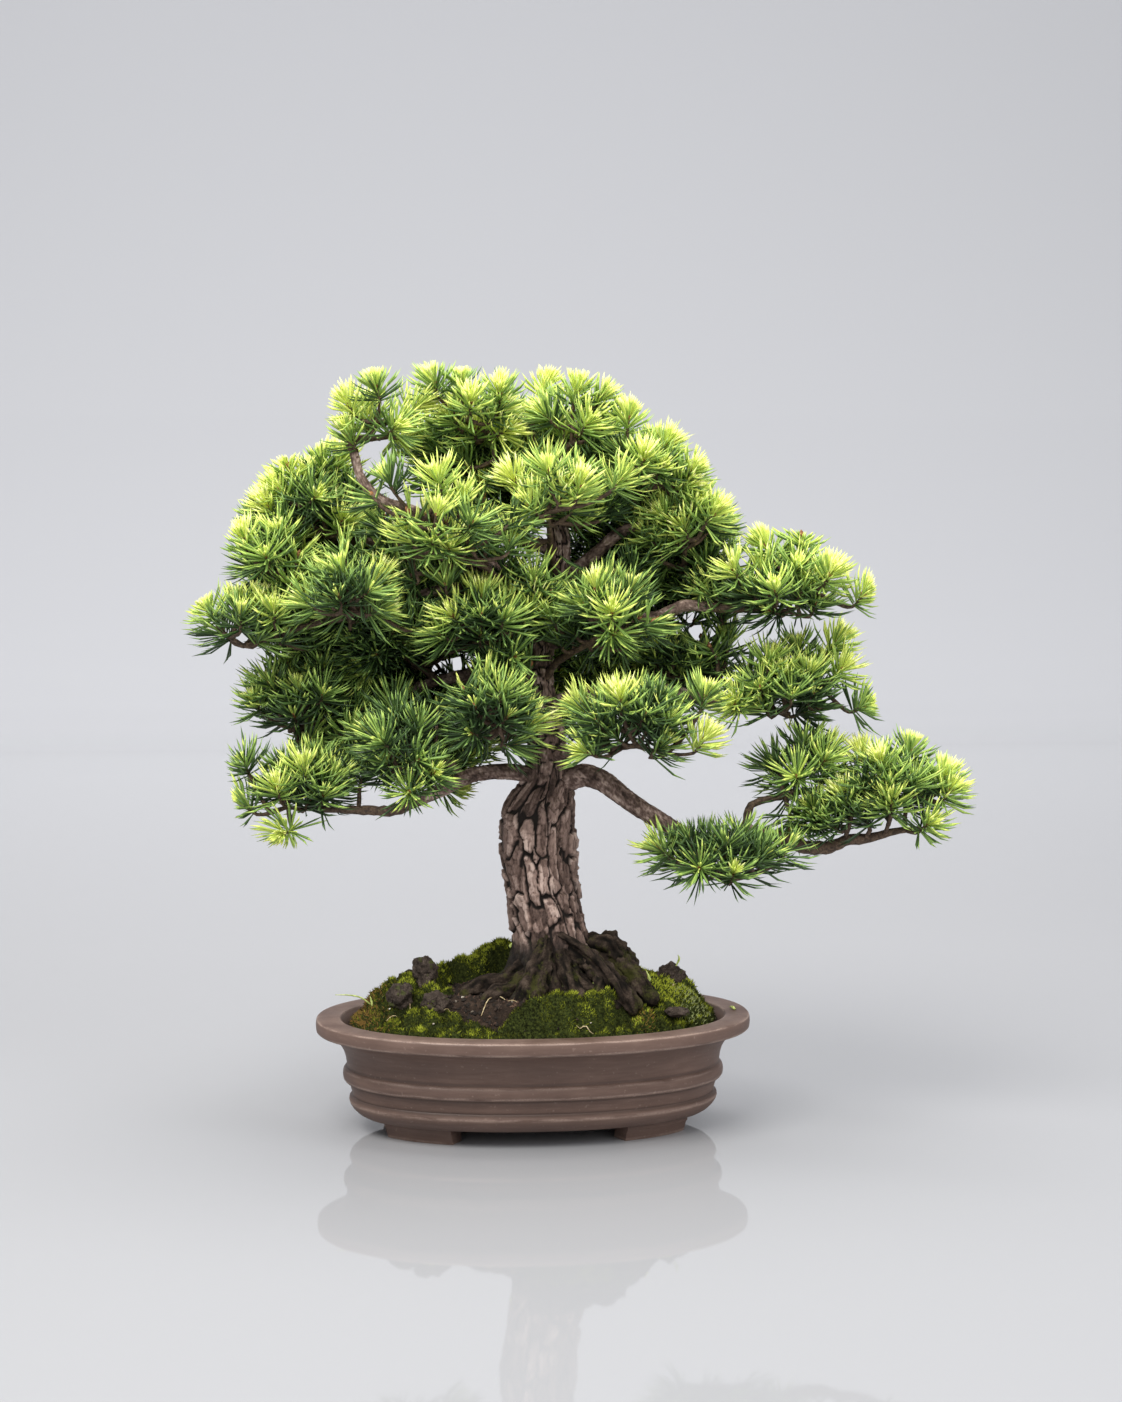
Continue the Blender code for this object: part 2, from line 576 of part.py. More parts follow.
class Room:
    """The space that each mass may fill: its own ellipsoid, short of its neighbours and of every limb."""

    def __init__(self, limbs):
        self.names = list(MASSES)
        self.centres = np.array([MASSES[name][1] for name in self.names], float)
        self.sizes = np.array([MASSES[name][2] for name in self.names], float)
        self.segments = {name: self.as_segments(limb) for name, limb in limbs.items()}

    @staticmethod
    def as_segments(limb):
        rows = [(*a, *b, ra, rb) for (a, ra), (b, rb) in zip(limb, limb[1:])]
        return np.array(rows, float)

    def depth(self, points):
        """How far out in each mass's ellipsoid each point lies, 1 at its skin."""
        offsets = np.abs(points[:, None, :] - self.centres[None, :, :]) / self.sizes[None, :, :]
        return (offsets ** MASS_SQUARENESS).sum(axis=2) ** (1 / MASS_SQUARENESS)

    def gap(self, points, skipped):
        """The distance from each point to the nearest limb's bark."""
        rows = np.concatenate([rows for name, rows in self.segments.items() if name not in skipped])
        start, end = rows[:, 0:3], rows[:, 3:6]
        along = end - start
        share = ((points[:, None, :] - start) * along).sum(axis=2) / (along ** 2).sum(axis=1)
        share = np.clip(share, 0, 1)
        nearest = start + share[:, :, None] * along
        radii = rows[:, 6] + share * (rows[:, 7] - rows[:, 6])
        away = np.sqrt(((points[:, None, :] - nearest) ** 2).sum(axis=2)) - radii
        return away.min(axis=1)

    def free(self, name, points, room, skipped=()):
        """Which of the points a mass may use."""
        points = np.array([tuple(point) for point in points], float)
        depth = self.depth(points)
        index = self.names.index(name)
        own = depth[:, index]
        others = np.delete(depth, index, axis=1).min(axis=1)
        inside = (own < 1) & (own < others - EDGE_SHARE)
        return inside & (self.gap(points, {name, *skipped}) > room)


def make_stem(name, limbs):
    """A mass's stem, from just clear of its limb to the middle of the mass."""
    carrier, centre, half_sizes, shoots, seed = MASSES[name]
    centre = Vector(centre)
    limb_name, at, share = carrier.partition("@")
    limb = limbs[limb_name]
    if at:
        place = float(share) * (len(limb) - 1)
        index = min(int(place), len(limb) - 2)
        point = limb[index][0].lerp(limb[index + 1][0], place - index)
        radius = limb[index][1] + (limb[index + 1][1] - limb[index][1]) * (place - index)
        along = (limb[index + 1][0] - limb[index][0]).normalized()
        aim = centre - point
        way = (aim - along * aim.dot(along)).normalized()
        first = min(STEM_RADII[0], 0.7 * radius)
        if limb_name == "trunk":
            radius = trunk_radius(radius, math.atan2(way.y, way.x), point.z)
        start = point + way * (radius + GAP)
    else:
        # The trunk's tip is cut level, a bough's tip square to it
        way = UP if limb_name == "trunk" else (limb[-1][0] - limb[-2][0]).normalized()
        start = limb[-1][0] + way * GAP
        first = min(1.6 * STEM_RADII[0], limb[-1][1])
    span = (centre - start).length
    low = centre - UP * 0.25 * half_sizes[2]
    turn = start + way * min(0.35 * span, 16.0)
    end = low + (low - turn) * 0.12
    bend = start + way * STEM_STRAIGHT
    course = [start, *catmull([bend, turn, turn.lerp(low, 0.55), end], STEM_STEP)]
    return tapered(course, first, STEM_RADII[1])


def shoot_sites(name, room, stems, chance):
    """Feet of a mass's shoots, spread evenly near its skin, each joined by a twig to what grew before."""
    carrier, centre, half_sizes, shoots, seed = MASSES[name]
    centre = Vector(centre)
    inner = [max(0.34 * size, size - SITE_MARGIN) for size in half_sizes]
    found = []
    nodes = [point for point, radius in stems[name]][2:]
    for _ in range(shoots):
        best = None
        for _ in range(SITE_TRIES):
            way = Vector([chance.gauss(0, 1) for _ in range(3)]).normalized()
            reach = chance.uniform(0.55, 1.0)
            site = centre + Vector([way[axis] * inner[axis] * reach for axis in range(3)]) - UP * SHOOT_SINK
            spread = min([(site - other).length for other, axis, path in found], default=reach)
            if found and spread < SHOOT_SPACING or best and spread <= best[0]:
                continue
            near = sorted(nodes, key=lambda node: (site - node).length + 0.35 * max(0.0, node.z - site.z))
            for parent in near[:PARENT_TRIES]:
                middle = parent.lerp(site, 0.55) - UP * 0.07 * (site - parent).length
                lean = 0.75 * (site - centre).normalized() + 0.85 * UP + 0.35 * (site - middle).normalized()
                axis = lean.normalized()
                samples = [parent.lerp(middle, step / 5) for step in range(2, 6)]
                samples += [middle.lerp(site, step / 5) for step in range(1, 6)]
                samples += [site + axis * CORE_LENGTH * share for share in (0.5, 1.0)]
                bend = (site - middle).normalized().dot(axis)
                if (site - parent).length < SHORTEST_TWIG or bend < TWIG_BEND:
                    continue
                if room.free(name, samples, TWIG_ROOM).all():
                    best = (spread, (site, axis, [parent, middle, site]))
                    break
        if best:
            found.append(best[1])
            nodes.append(best[1][2][1])
    return found


def needle_length(name, room, base, way, own, others):
    """How long a needle may be before it leaves the mass, meets a limb or crosses to the next shoot."""
    steps = 9
    points = [base + way * NEEDLE * step / steps for step in range(1, steps + 1)]
    free = room.free(name, points, NEEDLE_ROOM)
    length = 0.0
    for step, point in enumerate(points):
        if not free[step]:
            break
        from_own = distance_to(point, *own)
        if any(distance_to(point, *other) < from_own + 1.2 for other in others):
            break
        length = NEEDLE * (step + 1) / steps
    return length if length >= SHORTEST_NEEDLE * NEEDLE else 0.0


def distance_to(point, start, end):
    along = end - start
    share = min(1.0, max(0.0, (point - start).dot(along) / along.length_squared))
    return (point - start - along * share).length


def make_shoot(name, room, site, axis, path, others, chance):
    """A twig that ends in a slim core, whose three-cornered faces are drawn out into needles."""
    spin = chance.uniform(0, 2 * math.pi)
    side_way = axis.to_track_quat("Z", "Y") @ Vector((math.cos(spin), math.sin(spin), 0))
    parent, middle = path[0], path[1]
    rings = [(site + axis * CORE_HEAD[0], axis, CORE_HEAD[1], 0.5), (site, axis, CORE_FOOT, 0.0)]
    if (site - parent).length > STRAIGHT_TWIG:
        rings.append((middle, (site - parent).normalized(), TWIG_RADII[1], 0.0))
    rings.append((parent, (middle - parent).normalized(), TWIG_RADII[0], 0.0))
    points = []
    across = side_way
    for centre, along, radius, twist in rings:
        across = (across - along * across.dot(along)).normalized()
        upright = along.cross(across)
        ring = []
        for side in range(SHOOT_SIDES):
            angle = 2 * math.pi * (side + twist) / SHOOT_SIDES
            ring.append(centre + radius * (math.cos(angle) * across + math.sin(angle) * upright))
        points = ring + points
    tip = len(points)
    points.append(site + axis * CORE_LENGTH)
    own = (site, points[tip])
    foot = (len(rings) - 2) * SHOOT_SIDES
    faces = ring_faces(len(rings) - 1, SHOOT_SIDES)[:-1]
    drawn = []
    for side in range(SHOOT_SIDES):
        after = (side + 1) % SHOOT_SIDES
        low, high = foot + side, foot + SHOOT_SIDES + side
        low_after, high_after = foot + after, foot + SHOOT_SIDES + after
        drawn.append(((low, low_after, high), NEEDLE_LEANS[0], side + 0.5))
        drawn.append(((low_after, high_after, high), NEEDLE_LEANS[1], side + 1.0))
        drawn.append(((high, high_after, tip), NEEDLE_LEANS[2], side + 1.0))
    for corners, lean, place in drawn:
        base = sum((points[corner] for corner in corners), Vector()) / 3
        angle = 2 * math.pi * place / SHOOT_SIDES + chance.uniform(-0.2, 0.2)
        lean = math.radians(lean + chance.uniform(-9, 9))
        out = math.cos(angle) * side_way + math.sin(angle) * axis.cross(side_way)
        way = math.sin(lean) * out + math.cos(lean) * axis
        length = needle_length(name, room, base, way, own, others)
        if not length:
            faces.append(corners)
            continue
        peak = len(points)
        points.append(base + way * length * chance.uniform(0.92, 1.0))
        for first, second in zip(corners, corners[1:] + corners[:1]):
            faces.append((first, second, peak))
    return points, faces


def make_mass(name, room, stems, parent, material):
    """A mass of needles: a stem, twigs that branch from it, and a shoot on the end of each."""
    chance = random.Random(MASSES[name][4])
    pieces = [tube(stems[name], STEM_SIDES)]
    found = shoot_sites(name, room, stems, chance)
    cores = [(site, site + axis * CORE_LENGTH) for site, axis, path in found]
    for index, (site, axis, path) in enumerate(found):
        others = cores[:index] + cores[index + 1:]
        pieces.append(make_shoot(name, room, site, axis, path, others, chance))
    mass = solid(name, *pieces[0], parent, material)
    group = bpy.data.collections.new(name + "_pieces")
    bpy.context.scene.collection.children.link(group)
    for index, piece in enumerate(pieces[1:]):
        part = solid(f"{name}_{index}", *piece, parent)
        bpy.context.scene.collection.objects.unlink(part)
        group.objects.link(part)
    modifier = mass.modifiers.new("join", "BOOLEAN")
    modifier.operation = "UNION"
    modifier.solver = "EXACT"
    modifier.operand_type = "COLLECTION"
    modifier.collection = group
    bake(mass)
    for part in list(group.objects):
        bpy.data.objects.remove(part, do_unlink=True)
    bpy.data.collections.remove(group)
    keep_largest(mass)
    return mass


def main():
    clear_scene()
    stand = holder("stand", location=(*POT_PLACE, 0))
    tree = holder("tree", stand, turn=TREE_TURN)

    make_pot(stand)
    soil = make_soil(stand)
    covers = [make_blanket(name, stand, *values) for name, values in BLANKETS.items()]

    trunk = make_trunk(tree)
    burl = make_burl(tree)
    cut_clear(burl, [trunk, soil, *covers])
    mound = make_lump("moss_mound", tree, *MOSS_MOUND, 0, 40, (0.12, 0.22, 0.04), 0.06)
    cut_clear(mound, [trunk, soil, *covers])
    for name, (centre, half_sizes, turn, seed, colour) in STONES.items():
        stone = make_lump(name, tree, centre, half_sizes, turn, seed, colour)
        cut_clear(stone, [soil, *covers])

    limbs = limb_courses()
    boughs = {"trunk": trunk}
    for name, (carrier, first, last, points) in BOUGHS.items():
        bough = solid(name, *tube(limbs[name], BOUGH_SIDES), tree, finish(name + "_bark", BARK, 0.9))
        cut_clear(bough, [boughs[carrier]])
        boughs[name] = bough

    stems = {name: make_stem(name, limbs) for name in MASSES}
    room = Room({**limbs, **stems})
    for name in MASSES:
        make_mass(name, room, stems, tree, finish(name + "_needles", NEEDLES, 0.6))


main()
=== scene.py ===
# %% [markdown]
# A pine bonsai in an oval clay pot.
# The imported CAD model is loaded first, as a fixed frame in metres. It already has the pot, the soil, the trunk, the
# boughs and plain masses where the needles go. This lesson dresses it: every visible surface is modelled again with
# its fine shape, in the same place, and gets a finish made of shader nodes.
# Sizes are written in millimetres, because a maker measures a small tree in millimetres.

# %% Load the frame
import math
import random

import bpy
import numpy as np
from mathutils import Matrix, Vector


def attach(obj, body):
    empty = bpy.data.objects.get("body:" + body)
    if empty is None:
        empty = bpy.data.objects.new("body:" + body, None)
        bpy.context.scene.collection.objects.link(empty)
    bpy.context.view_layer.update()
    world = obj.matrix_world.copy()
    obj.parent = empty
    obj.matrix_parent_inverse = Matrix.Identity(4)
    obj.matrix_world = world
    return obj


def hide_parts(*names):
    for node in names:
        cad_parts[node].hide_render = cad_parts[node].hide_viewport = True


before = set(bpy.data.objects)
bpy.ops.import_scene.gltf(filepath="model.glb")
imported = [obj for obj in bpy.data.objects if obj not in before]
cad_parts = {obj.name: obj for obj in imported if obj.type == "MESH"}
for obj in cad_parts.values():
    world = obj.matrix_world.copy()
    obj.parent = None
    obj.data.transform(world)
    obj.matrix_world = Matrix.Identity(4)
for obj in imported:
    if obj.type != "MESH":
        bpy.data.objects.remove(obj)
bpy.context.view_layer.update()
MM = 0.001
POT_PLACE = (-28.04, -7.48)  # the pot's centre, from the middle of the whole plant's box
TREE_TURN = math.radians(-4.4)  # the tree's front is turned a little from the pot's long side
UP = Vector((0, 0, 1))

# %% [markdown]
# The tree was measured in its own frame: across to the right, back away from the viewer, and up. One function turns
# such points to their place in the frame. The pot isn't turned, so its points are only moved.


# %% Places
def turned_by(points, angle):
    """Points turned about the upright axis."""
    cosine, sine = math.cos(angle), math.sin(angle)
    across = points[:, 0] * cosine - points[:, 1] * sine
    back = points[:, 0] * sine + points[:, 1] * cosine
    return np.column_stack((across, back, points[:, 2]))


def to_place(points, turned=True):
    """Points in millimetres, in the tree's frame or the pot's, as metres in the frame."""
    points = np.asarray(points, float).reshape(-1, 3)
    if turned:
        points = turned_by(points, TREE_TURN)
    return (points + (*POT_PLACE, 0.0)) * MM


def blend(low, high, value):
    """Runs smoothly from 0 at low to 1 at high."""
    share = np.clip((np.asarray(value, float) - low) / (high - low), 0.0, 1.0)
    return share * share * (3.0 - 2.0 * share)


print("trunk's foot, m:", to_place([(10, 0, 96)])[0].round(4))

# %% [markdown]
# The camera stands a little above the pot, about a metre and a half away, with a long lens, so that the tree keeps
# its true proportions. It is made first, because the picture's framing decides where the light and the floor go.

# %% Camera
CAMERA_PLACE = (0.0, -1585.7, 421.9)
CAMERA_YAW = math.radians(0.683)
CAMERA_PITCH = math.radians(4.574)
LENS = 59.6
SENSOR = 36.0
PICTURE = (1122, 1402)

camera = bpy.data.objects.new("camera", bpy.data.cameras.new("camera"))
camera.data.sensor_fit = "VERTICAL"
camera.data.sensor_height = SENSOR
camera.data.lens = LENS
camera.data.clip_start, camera.data.clip_end = 0.05, 50.0
aim = Vector((math.sin(CAMERA_YAW), math.cos(CAMERA_YAW), -math.tan(CAMERA_PITCH)))
ends = to_place([CAMERA_PLACE, Vector(CAMERA_PLACE) + 1000 * aim])
camera.location = ends[0]
camera.rotation_mode = "QUATERNION"
camera.rotation_quaternion = Vector(ends[1] - ends[0]).to_track_quat("-Z", "Y")
bpy.context.scene.collection.objects.link(camera)
bpy.context.scene.camera = camera
print("camera, m:", camera.location)

# %% [markdown]
# Colour management decides how bright light becomes a pixel. The Standard view keeps the greens as they are mixed,
# where the default view would grey them.

# %% View
bpy.context.scene.view_settings.view_transform = "Standard"
print("view:", bpy.context.scene.view_settings.view_transform)

# %% [markdown]
# Finishes are shader nodes. Written one by one they are hard to read, so two small classes help. Value wraps a
# node's output so that sums on it read as Python and add their Math nodes. Finish is a material, and its node()
# adds any other node: first its settings, then the values or links of its sockets.


# %% Shader helpers
class Value:
    """The output of a node, on which sums can be written."""

    def __init__(self, finish, socket):
        self.finish = finish
        self.socket = socket

    def sum(self, operation, first, second=0.0):
        return self.finish.node("ShaderNodeMath", {"operation": operation}, {0: first, 1: second})

    def __add__(self, other):
        return self.sum("ADD", self, other)

    def __sub__(self, other):
        return self.sum("SUBTRACT", self, other)

    def __mul__(self, other):
        return self.sum("MULTIPLY", self, other)


class Finish:
    """A material made of nodes, with one Principled shader."""

    def __init__(self, name, **sockets):
        self.material = bpy.data.materials.new(name)
        self.material.use_nodes = True
        self.tree = self.material.node_tree
        self.shader = self.tree.nodes["Principled BSDF"]
        self.put(self.shader, {key.replace("_", " "): value for key, value in sockets.items()})

    def put(self, node, inputs):
        for key, value in inputs.items():
            if isinstance(value, Value):
                self.tree.links.new(value.socket, node.inputs[key])
            elif isinstance(value, tuple) and len(value) == 3 and node.inputs[key].type == "RGBA":
                node.inputs[key].default_value = (*value, 1.0)
            else:
                node.inputs[key].default_value = value

    def node(self, kind, settings=None, inputs=None, output=0):
        made = self.tree.nodes.new(kind)
        for key, value in (settings or {}).items():
            if key == "stops":
                ramp = made.color_ramp
                while len(ramp.elements) < len(value):
                    ramp.elements.new(1.0)
                for element, (place, colour) in zip(ramp.elements, value):
                    element.position = place
                    element.color = (*colour, 1.0)
            else:
                setattr(made, key, value)
        self.put(made, inputs or {})
        return Value(self, made.outputs[output])

    def coordinates(self, stretch=(1, 1, 1)):
        place = self.node("ShaderNodeTexCoord", output="Object")
        return self.node("ShaderNodeMapping", {}, {"Vector": place, "Scale": Vector(stretch)})

    def noise(self, place, size, detail=4.0, roughness=0.55, distortion=0.0):
        """Noise with features of a size in millimetres."""
        inputs = {"Vector": place, "Scale": 1 / (size * MM), "Detail": detail, "Roughness": roughness}
        return self.node("ShaderNodeTexNoise", {}, {**inputs, "Distortion": distortion})

    def between(self, value, low, high, start=0.0, end=1.0):
        """Maps low..high to start..end, without going past either."""
        inputs = {"Value": value, "From Min": low, "From Max": high, "To Min": start, "To Max": end}
        return self.node("ShaderNodeMapRange", {"interpolation_type": "SMOOTHSTEP"}, inputs)

    def mix(self, low, high, factor):
        return self.node("ShaderNodeMix", {"data_type": "RGBA"}, {0: factor, 6: low, 7: high}, 2)

    def ramp(self, value, *stops):
        return self.node("ShaderNodeValToRGB", {"stops": stops}, {"Fac": value})

    def height(self, value, depth, strength=1.0, under=None):
        """A bump whose depth is in millimetres."""
        inputs = {"Height": value, "Distance": depth * MM, "Strength": strength}
        if under:
            inputs["Normal"] = under
        return self.node("ShaderNodeBump", {}, inputs)

    def parts(self, name):
        """The three numbers that a mesh keeps for each point under a name."""
        kept = self.node("ShaderNodeAttribute", {"attribute_name": name}, {}, "Color")
        split = self.tree.nodes.new("ShaderNodeSeparateColor")
        self.put(split, {"Color": kept})
        return [Value(self, socket) for socket in split.outputs]

    def axis(self, name):
        """Where a point lies along X, Y or Z, in metres."""
        split = self.tree.nodes.new("ShaderNodeSeparateXYZ")
        self.put(split, {"Vector": self.node("ShaderNodeTexCoord", output="Object")})
        return Value(self, split.outputs[name])

    def near(self, value, level, reach, amount, within=0.0):
        """The amount where a value is near a level, falling to none at the reach from it."""
        offset = value - level
        return self.between(offset.sum("ABSOLUTE", offset), within, reach, amount, 0.0)

    def done(self, **sockets):
        self.put(self.shader, {key.replace("_", " "): value for key, value in sockets.items()})
        return self.material


def grain_finish(name, noise, stops, bump=None, **sockets):
    """A finish whose colours follow one fine noise, and its bump too where one is given."""
    finish = Finish(name)
    grain = finish.noise(finish.coordinates(), *noise)
    colour = finish.ramp(grain, *stops)
    if bump:
        sockets["Normal"] = finish.height(grain, *bump)
    return finish.done(Base_Color=colour, **sockets)


def two_tone_finish(name, noise, edges, colours, rough):
    """A finish that changes between two colours by one fine noise."""
    finish = Finish(name)
    grain = finish.noise(finish.coordinates(), *noise)
    return finish.done(Base_Color=finish.mix(*colours, finish.between(grain, *edges)), Roughness=rough)


print("shader helpers ready")

# %% [markdown]
# Thousands of needles or grains can't be modelled one by one. They are worked out as arrays of points and faces and
# become one mesh. Geometry Nodes could scatter them too, but arrays let a needle know where its mass ends.


# %% Mesh helpers
def deselect():
    for obj in bpy.context.selected_objects:
        obj.select_set(False)


def mesh_piece(name, points, faces, materials, which=None, turned=True, smooth=True, marks=None):
    """A piece from arrays: points in millimetres, faces of equal size, and which material each face has."""
    points = to_place(points, turned)
    faces = np.asarray(faces, np.int32)
    mesh = bpy.data.meshes.new(name)
    mesh.vertices.add(len(points))
    mesh.vertices.foreach_set("co", points.ravel())
    mesh.loops.add(faces.size)
    mesh.loops.foreach_set("vertex_index", faces.ravel())
    mesh.polygons.add(len(faces))
    mesh.polygons.foreach_set("loop_start", np.arange(len(faces), dtype=np.int32) * faces.shape[1])
    for material in materials:
        mesh.materials.append(material)
    if which is not None:
        mesh.polygons.foreach_set("material_index", np.asarray(which, np.int32))
    mesh.polygons.foreach_set("use_smooth", np.full(len(faces), smooth))
    mesh.update(calc_edges=True)
    if marks is not None:
        kept = mesh.attributes.new("marks", "FLOAT_COLOR", "POINT")
        kept.data.foreach_set("color", np.column_stack((marks, np.ones(len(marks)))).astype(np.float32).ravel())
    piece = bpy.data.objects.new(name, mesh)
    bpy.context.scene.collection.objects.link(piece)
    return piece


def carry(piece, slot, *nodes):
    """The piece rides on the frame and stands for CAD nodes. The slot is not used."""
    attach(piece, "root")
    if nodes:
        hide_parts(*nodes)
    count = sum(len(face.vertices) - 2 for face in piece.data.polygons)
    print(f"{piece.name}: {count} triangles")


def grid_faces(rows, columns, closed=True):
    """Four-cornered faces between rows of points. A closed row comes back to its start."""
    row, column = np.meshgrid(np.arange(rows - 1), np.arange(columns if closed else columns - 1), indexing="ij")
    after = (column + 1) % columns
    low, high = row * columns, (row + 1) * columns
    return np.stack((low + column, low + after, high + after, high + column), axis=-1).reshape(-1, 4)


def copied_faces(pattern, count):
    """The faces of many small things that all have one pattern of corners."""
    pattern = np.array(pattern)
    return (np.arange(count)[:, None, None] * (pattern.max() + 1) + pattern).reshape(-1, 3)


def unit(vectors):
    """Rows of vectors, each made one long."""
    return vectors / np.linalg.norm(vectors, axis=1)[:, None]


print("mesh helpers ready")

# %% [markdown]
# Bark, soil and moss are rough in a way that looks random but has to be the same each time. Value noise does that:
# each corner of a grid gets a fixed value worked out from its number, and points in between blend their corners.
# Cells are the other pattern: every point belongs to the nearest of many scattered centres, as plates of bark do.


# %% Rough patterns
def scrambled(*keys):
    """A fixed value from 0 to 1 for whole numbers."""
    total = np.zeros(np.shape(keys[0]), np.int64)
    for key, prime in zip(keys, (73856093, 19349663, 83492791, 15485863)):
        total = total ^ (np.asarray(key, np.int64) * prime)
    total = (total ^ (total >> 13)) & 0x7FFFFFF
    total = (total * (total * 15731 + 789221) + 1376312589) & 0x7FFFFFFF
    return total / 0x7FFFFFFF


def roughness(points, size, seed=0, octaves=1):
    """Smooth noise from -1 to 1, with features of a size in millimetres."""
    total, weight = np.zeros(len(points)), 0.0
    for octave in range(octaves):
        scaled = np.asarray(points, float) * 2**octave / size
        cell = np.floor(scaled).astype(np.int64)
        part = scaled - cell
        part = part * part * (3 - 2 * part)
        value = np.zeros(len(points))
        for corner in np.ndindex(2, 2, 2):
            near = cell + corner
            share = np.prod(np.where(corner, part, 1 - part), axis=1)
            value += share * scrambled(near[:, 0], near[:, 1], near[:, 2], np.full(len(near), seed + octave))
        total += (2 * value - 1) * 0.5**octave
        weight += 0.5**octave
    return total / weight


def cells(u, v, columns, seed):
    """For each point: how far the crack is, the plate's own value, and where on the plate it lies."""
    nearest, second = np.full(len(u), 9.0), np.full(len(u), 9.0)
    value, right, above = np.zeros(len(u)), np.zeros(len(u)), np.zeros(len(u))
    for step_u in range(-2, 3):
        for step_v in range(-2, 3):
            i, j = np.floor(u).astype(int) + step_u, np.floor(v).astype(int) + step_v
            key = i % columns
            centre_u = i + 0.5 + 0.8 * (scrambled(key, j, j * 0 + seed) - 0.5)
            centre_v = j + 0.5 + 0.8 * (scrambled(key, j, j * 0 + seed + 1) - 0.5)
            away = np.hypot(u - centre_u, v - centre_v)
            nearer = away < nearest
            second = np.where(nearer, nearest, np.minimum(second, away))
            value = np.where(nearer, scrambled(key, j, j * 0 + seed + 2), value)
            right, above = np.where(nearer, u - centre_u, right), np.where(nearer, v - centre_v, above)
            nearest = np.where(nearer, away, nearest)
    return second - nearest, value, right, above


def on_sheet(x, y):
    """Points of a flat sheet, on which the patterns are read."""
    return np.column_stack((x, y, np.zeros(len(x))))


print("noise at three points:", roughness(np.array([(0, 0, 0), (5, 0, 0), (9, 4, 2)], float), 10.0).round(3))

# %% [markdown]
# The pot is thrown or pressed clay, fired without glaze: an oval with a broad flat lip, two raised bands and four
# bracket feet. It is modelled as a potter draws it, from the outline inwards: a circle is pulled to the oval, and
# each turn of the profile is one extrude and one resize. A lathe (spin) would only give a round pot.

# %% Pot sizes
POT_LENGTH = 300.0
POT_DEPTH = 188.0
POT_SQUARENESS = 2.15
POT_SIDES = 144
FOOT_HEIGHT = 10.0
RIM_TOP = 78.0
RIM_WIDTH = 17.5
LIP_HEIGHT = 9.0
POT_FLOOR = 18.0
FOOT_SPAN = (27.0, 62.0)
FOOT_THICK = 13.0
FOOT_TAPER = 0.975
BAND = 129.0
LIP = RIM_TOP - LIP_HEIGHT
HALF = POT_LENGTH / 2
INNER = HALF - RIM_WIDTH
WALL = (  # out from the band's line and up from the pot's underside
    (-15.0, 0.0), (-10.0, 1.2), (-7.0, 3.0), (-3.6, 6.4), (-2.0, 9.0), (-1.3, 11.3), (-1.6, 13.0), (-3.2, 13.7),
    (-3.8, 14.6), (-3.0, 18.0), (-1.2, 24.0), (1.4, 24.8), (2.5, 26.4), (2.9, 29.2), (2.5, 32.0), (1.5, 33.6),
    (0.0, 34.4), (0.2, 37.0), (1.0, 42.0), (2.4, 46.5), (4.8, 50.5),
)
POT_PROFILE = (
    *((BAND + out, FOOT_HEIGHT + up) for out, up in WALL),
    (BAND + 8.0, LIP - 5.0), (BAND + 13.0, LIP - 2.4), (HALF - 2.6, LIP - 0.6), (HALF - 1.0, LIP - 0.1),
    (HALF - 0.2, LIP + 0.7), (HALF, LIP + 1.8), (HALF + 0.2, LIP + 4.5), (HALF, RIM_TOP - 2.0),
    (HALF - 0.3, RIM_TOP - 0.9), (HALF - 1.0, RIM_TOP - 0.2), (HALF - 2.0, RIM_TOP), (HALF - 8.0, RIM_TOP + 0.1),
    (INNER + 2.6, RIM_TOP), (INNER + 1.0, RIM_TOP - 0.3), (INNER, RIM_TOP - 1.5), (INNER - 6.5, RIM_TOP - 13.0),
    (INNER - 10.5, RIM_TOP - 28.0), (INNER - 14.0, RIM_TOP - 48.0), (INNER - 20.0, POT_FLOOR),
)
print("profile rings:", len(POT_PROFILE))


# %% Model the pot
def half_width(reach):
    """Half the oval's width where its half length is the given one."""
    return reach - (POT_LENGTH - POT_DEPTH) / 2


def edit(obj, mode="VERT"):
    """Opens an object for editing with nothing selected."""
    deselect()
    obj.select_set(True)
    bpy.context.view_layer.objects.active = obj
    bpy.ops.object.mode_set(mode="EDIT")
    bpy.ops.mesh.select_mode(type=mode)
    bpy.ops.mesh.select_all(action="DESELECT")


def close():
    bpy.ops.object.mode_set(mode="OBJECT")


centre = to_place([(0, 0, FOOT_HEIGHT)], False)[0]
first_reach = POT_PROFILE[0][0] - FOOT_THICK
deselect()
bpy.ops.mesh.primitive_circle_add(vertices=POT_SIDES, radius=1.0, fill_type="NGON", location=centre)
pot = bpy.context.object
pot.name = pot.data.name = "pot_clay"
bpy.ops.object.transform_apply(location=True)
for vertex in pot.data.vertices:
    angle = math.atan2(vertex.co.y - centre[1], vertex.co.x - centre[0])
    x = math.copysign(abs(math.cos(angle)) ** (2 / POT_SQUARENESS), math.cos(angle))
    y = math.copysign(abs(math.sin(angle)) ** (2 / POT_SQUARENESS), math.sin(angle))
    vertex.co.x = centre[0] + x * first_reach * MM
    vertex.co.y = centre[1] + y * half_width(first_reach) * MM
edit(pot)
bpy.ops.mesh.select_all(action="SELECT")
before = (first_reach, FOOT_HEIGHT)
for reach, height in POT_PROFILE:
    rise = (0, 0, (height - before[1]) * MM)
    bpy.ops.mesh.extrude_region_move(TRANSFORM_OT_translate={"value": rise})
    grow = (reach / before[0], half_width(reach) / half_width(before[0]), 1.0)
    bpy.ops.transform.resize(value=grow, center_override=(centre[0], centre[1], height * MM))
    before = (reach, height)
close()
print("pot:", len(pot.data.polygons), "faces, box", [round(1000 * side, 1) for side in pot.dimensions])

# %% [markdown]
# The feet hang from the ring under the pot's edge. The faces of that ring over each foot are selected by their
# angle, extruded down and drawn in a little, and then each foot's sides are cut back to the bracket's small step.


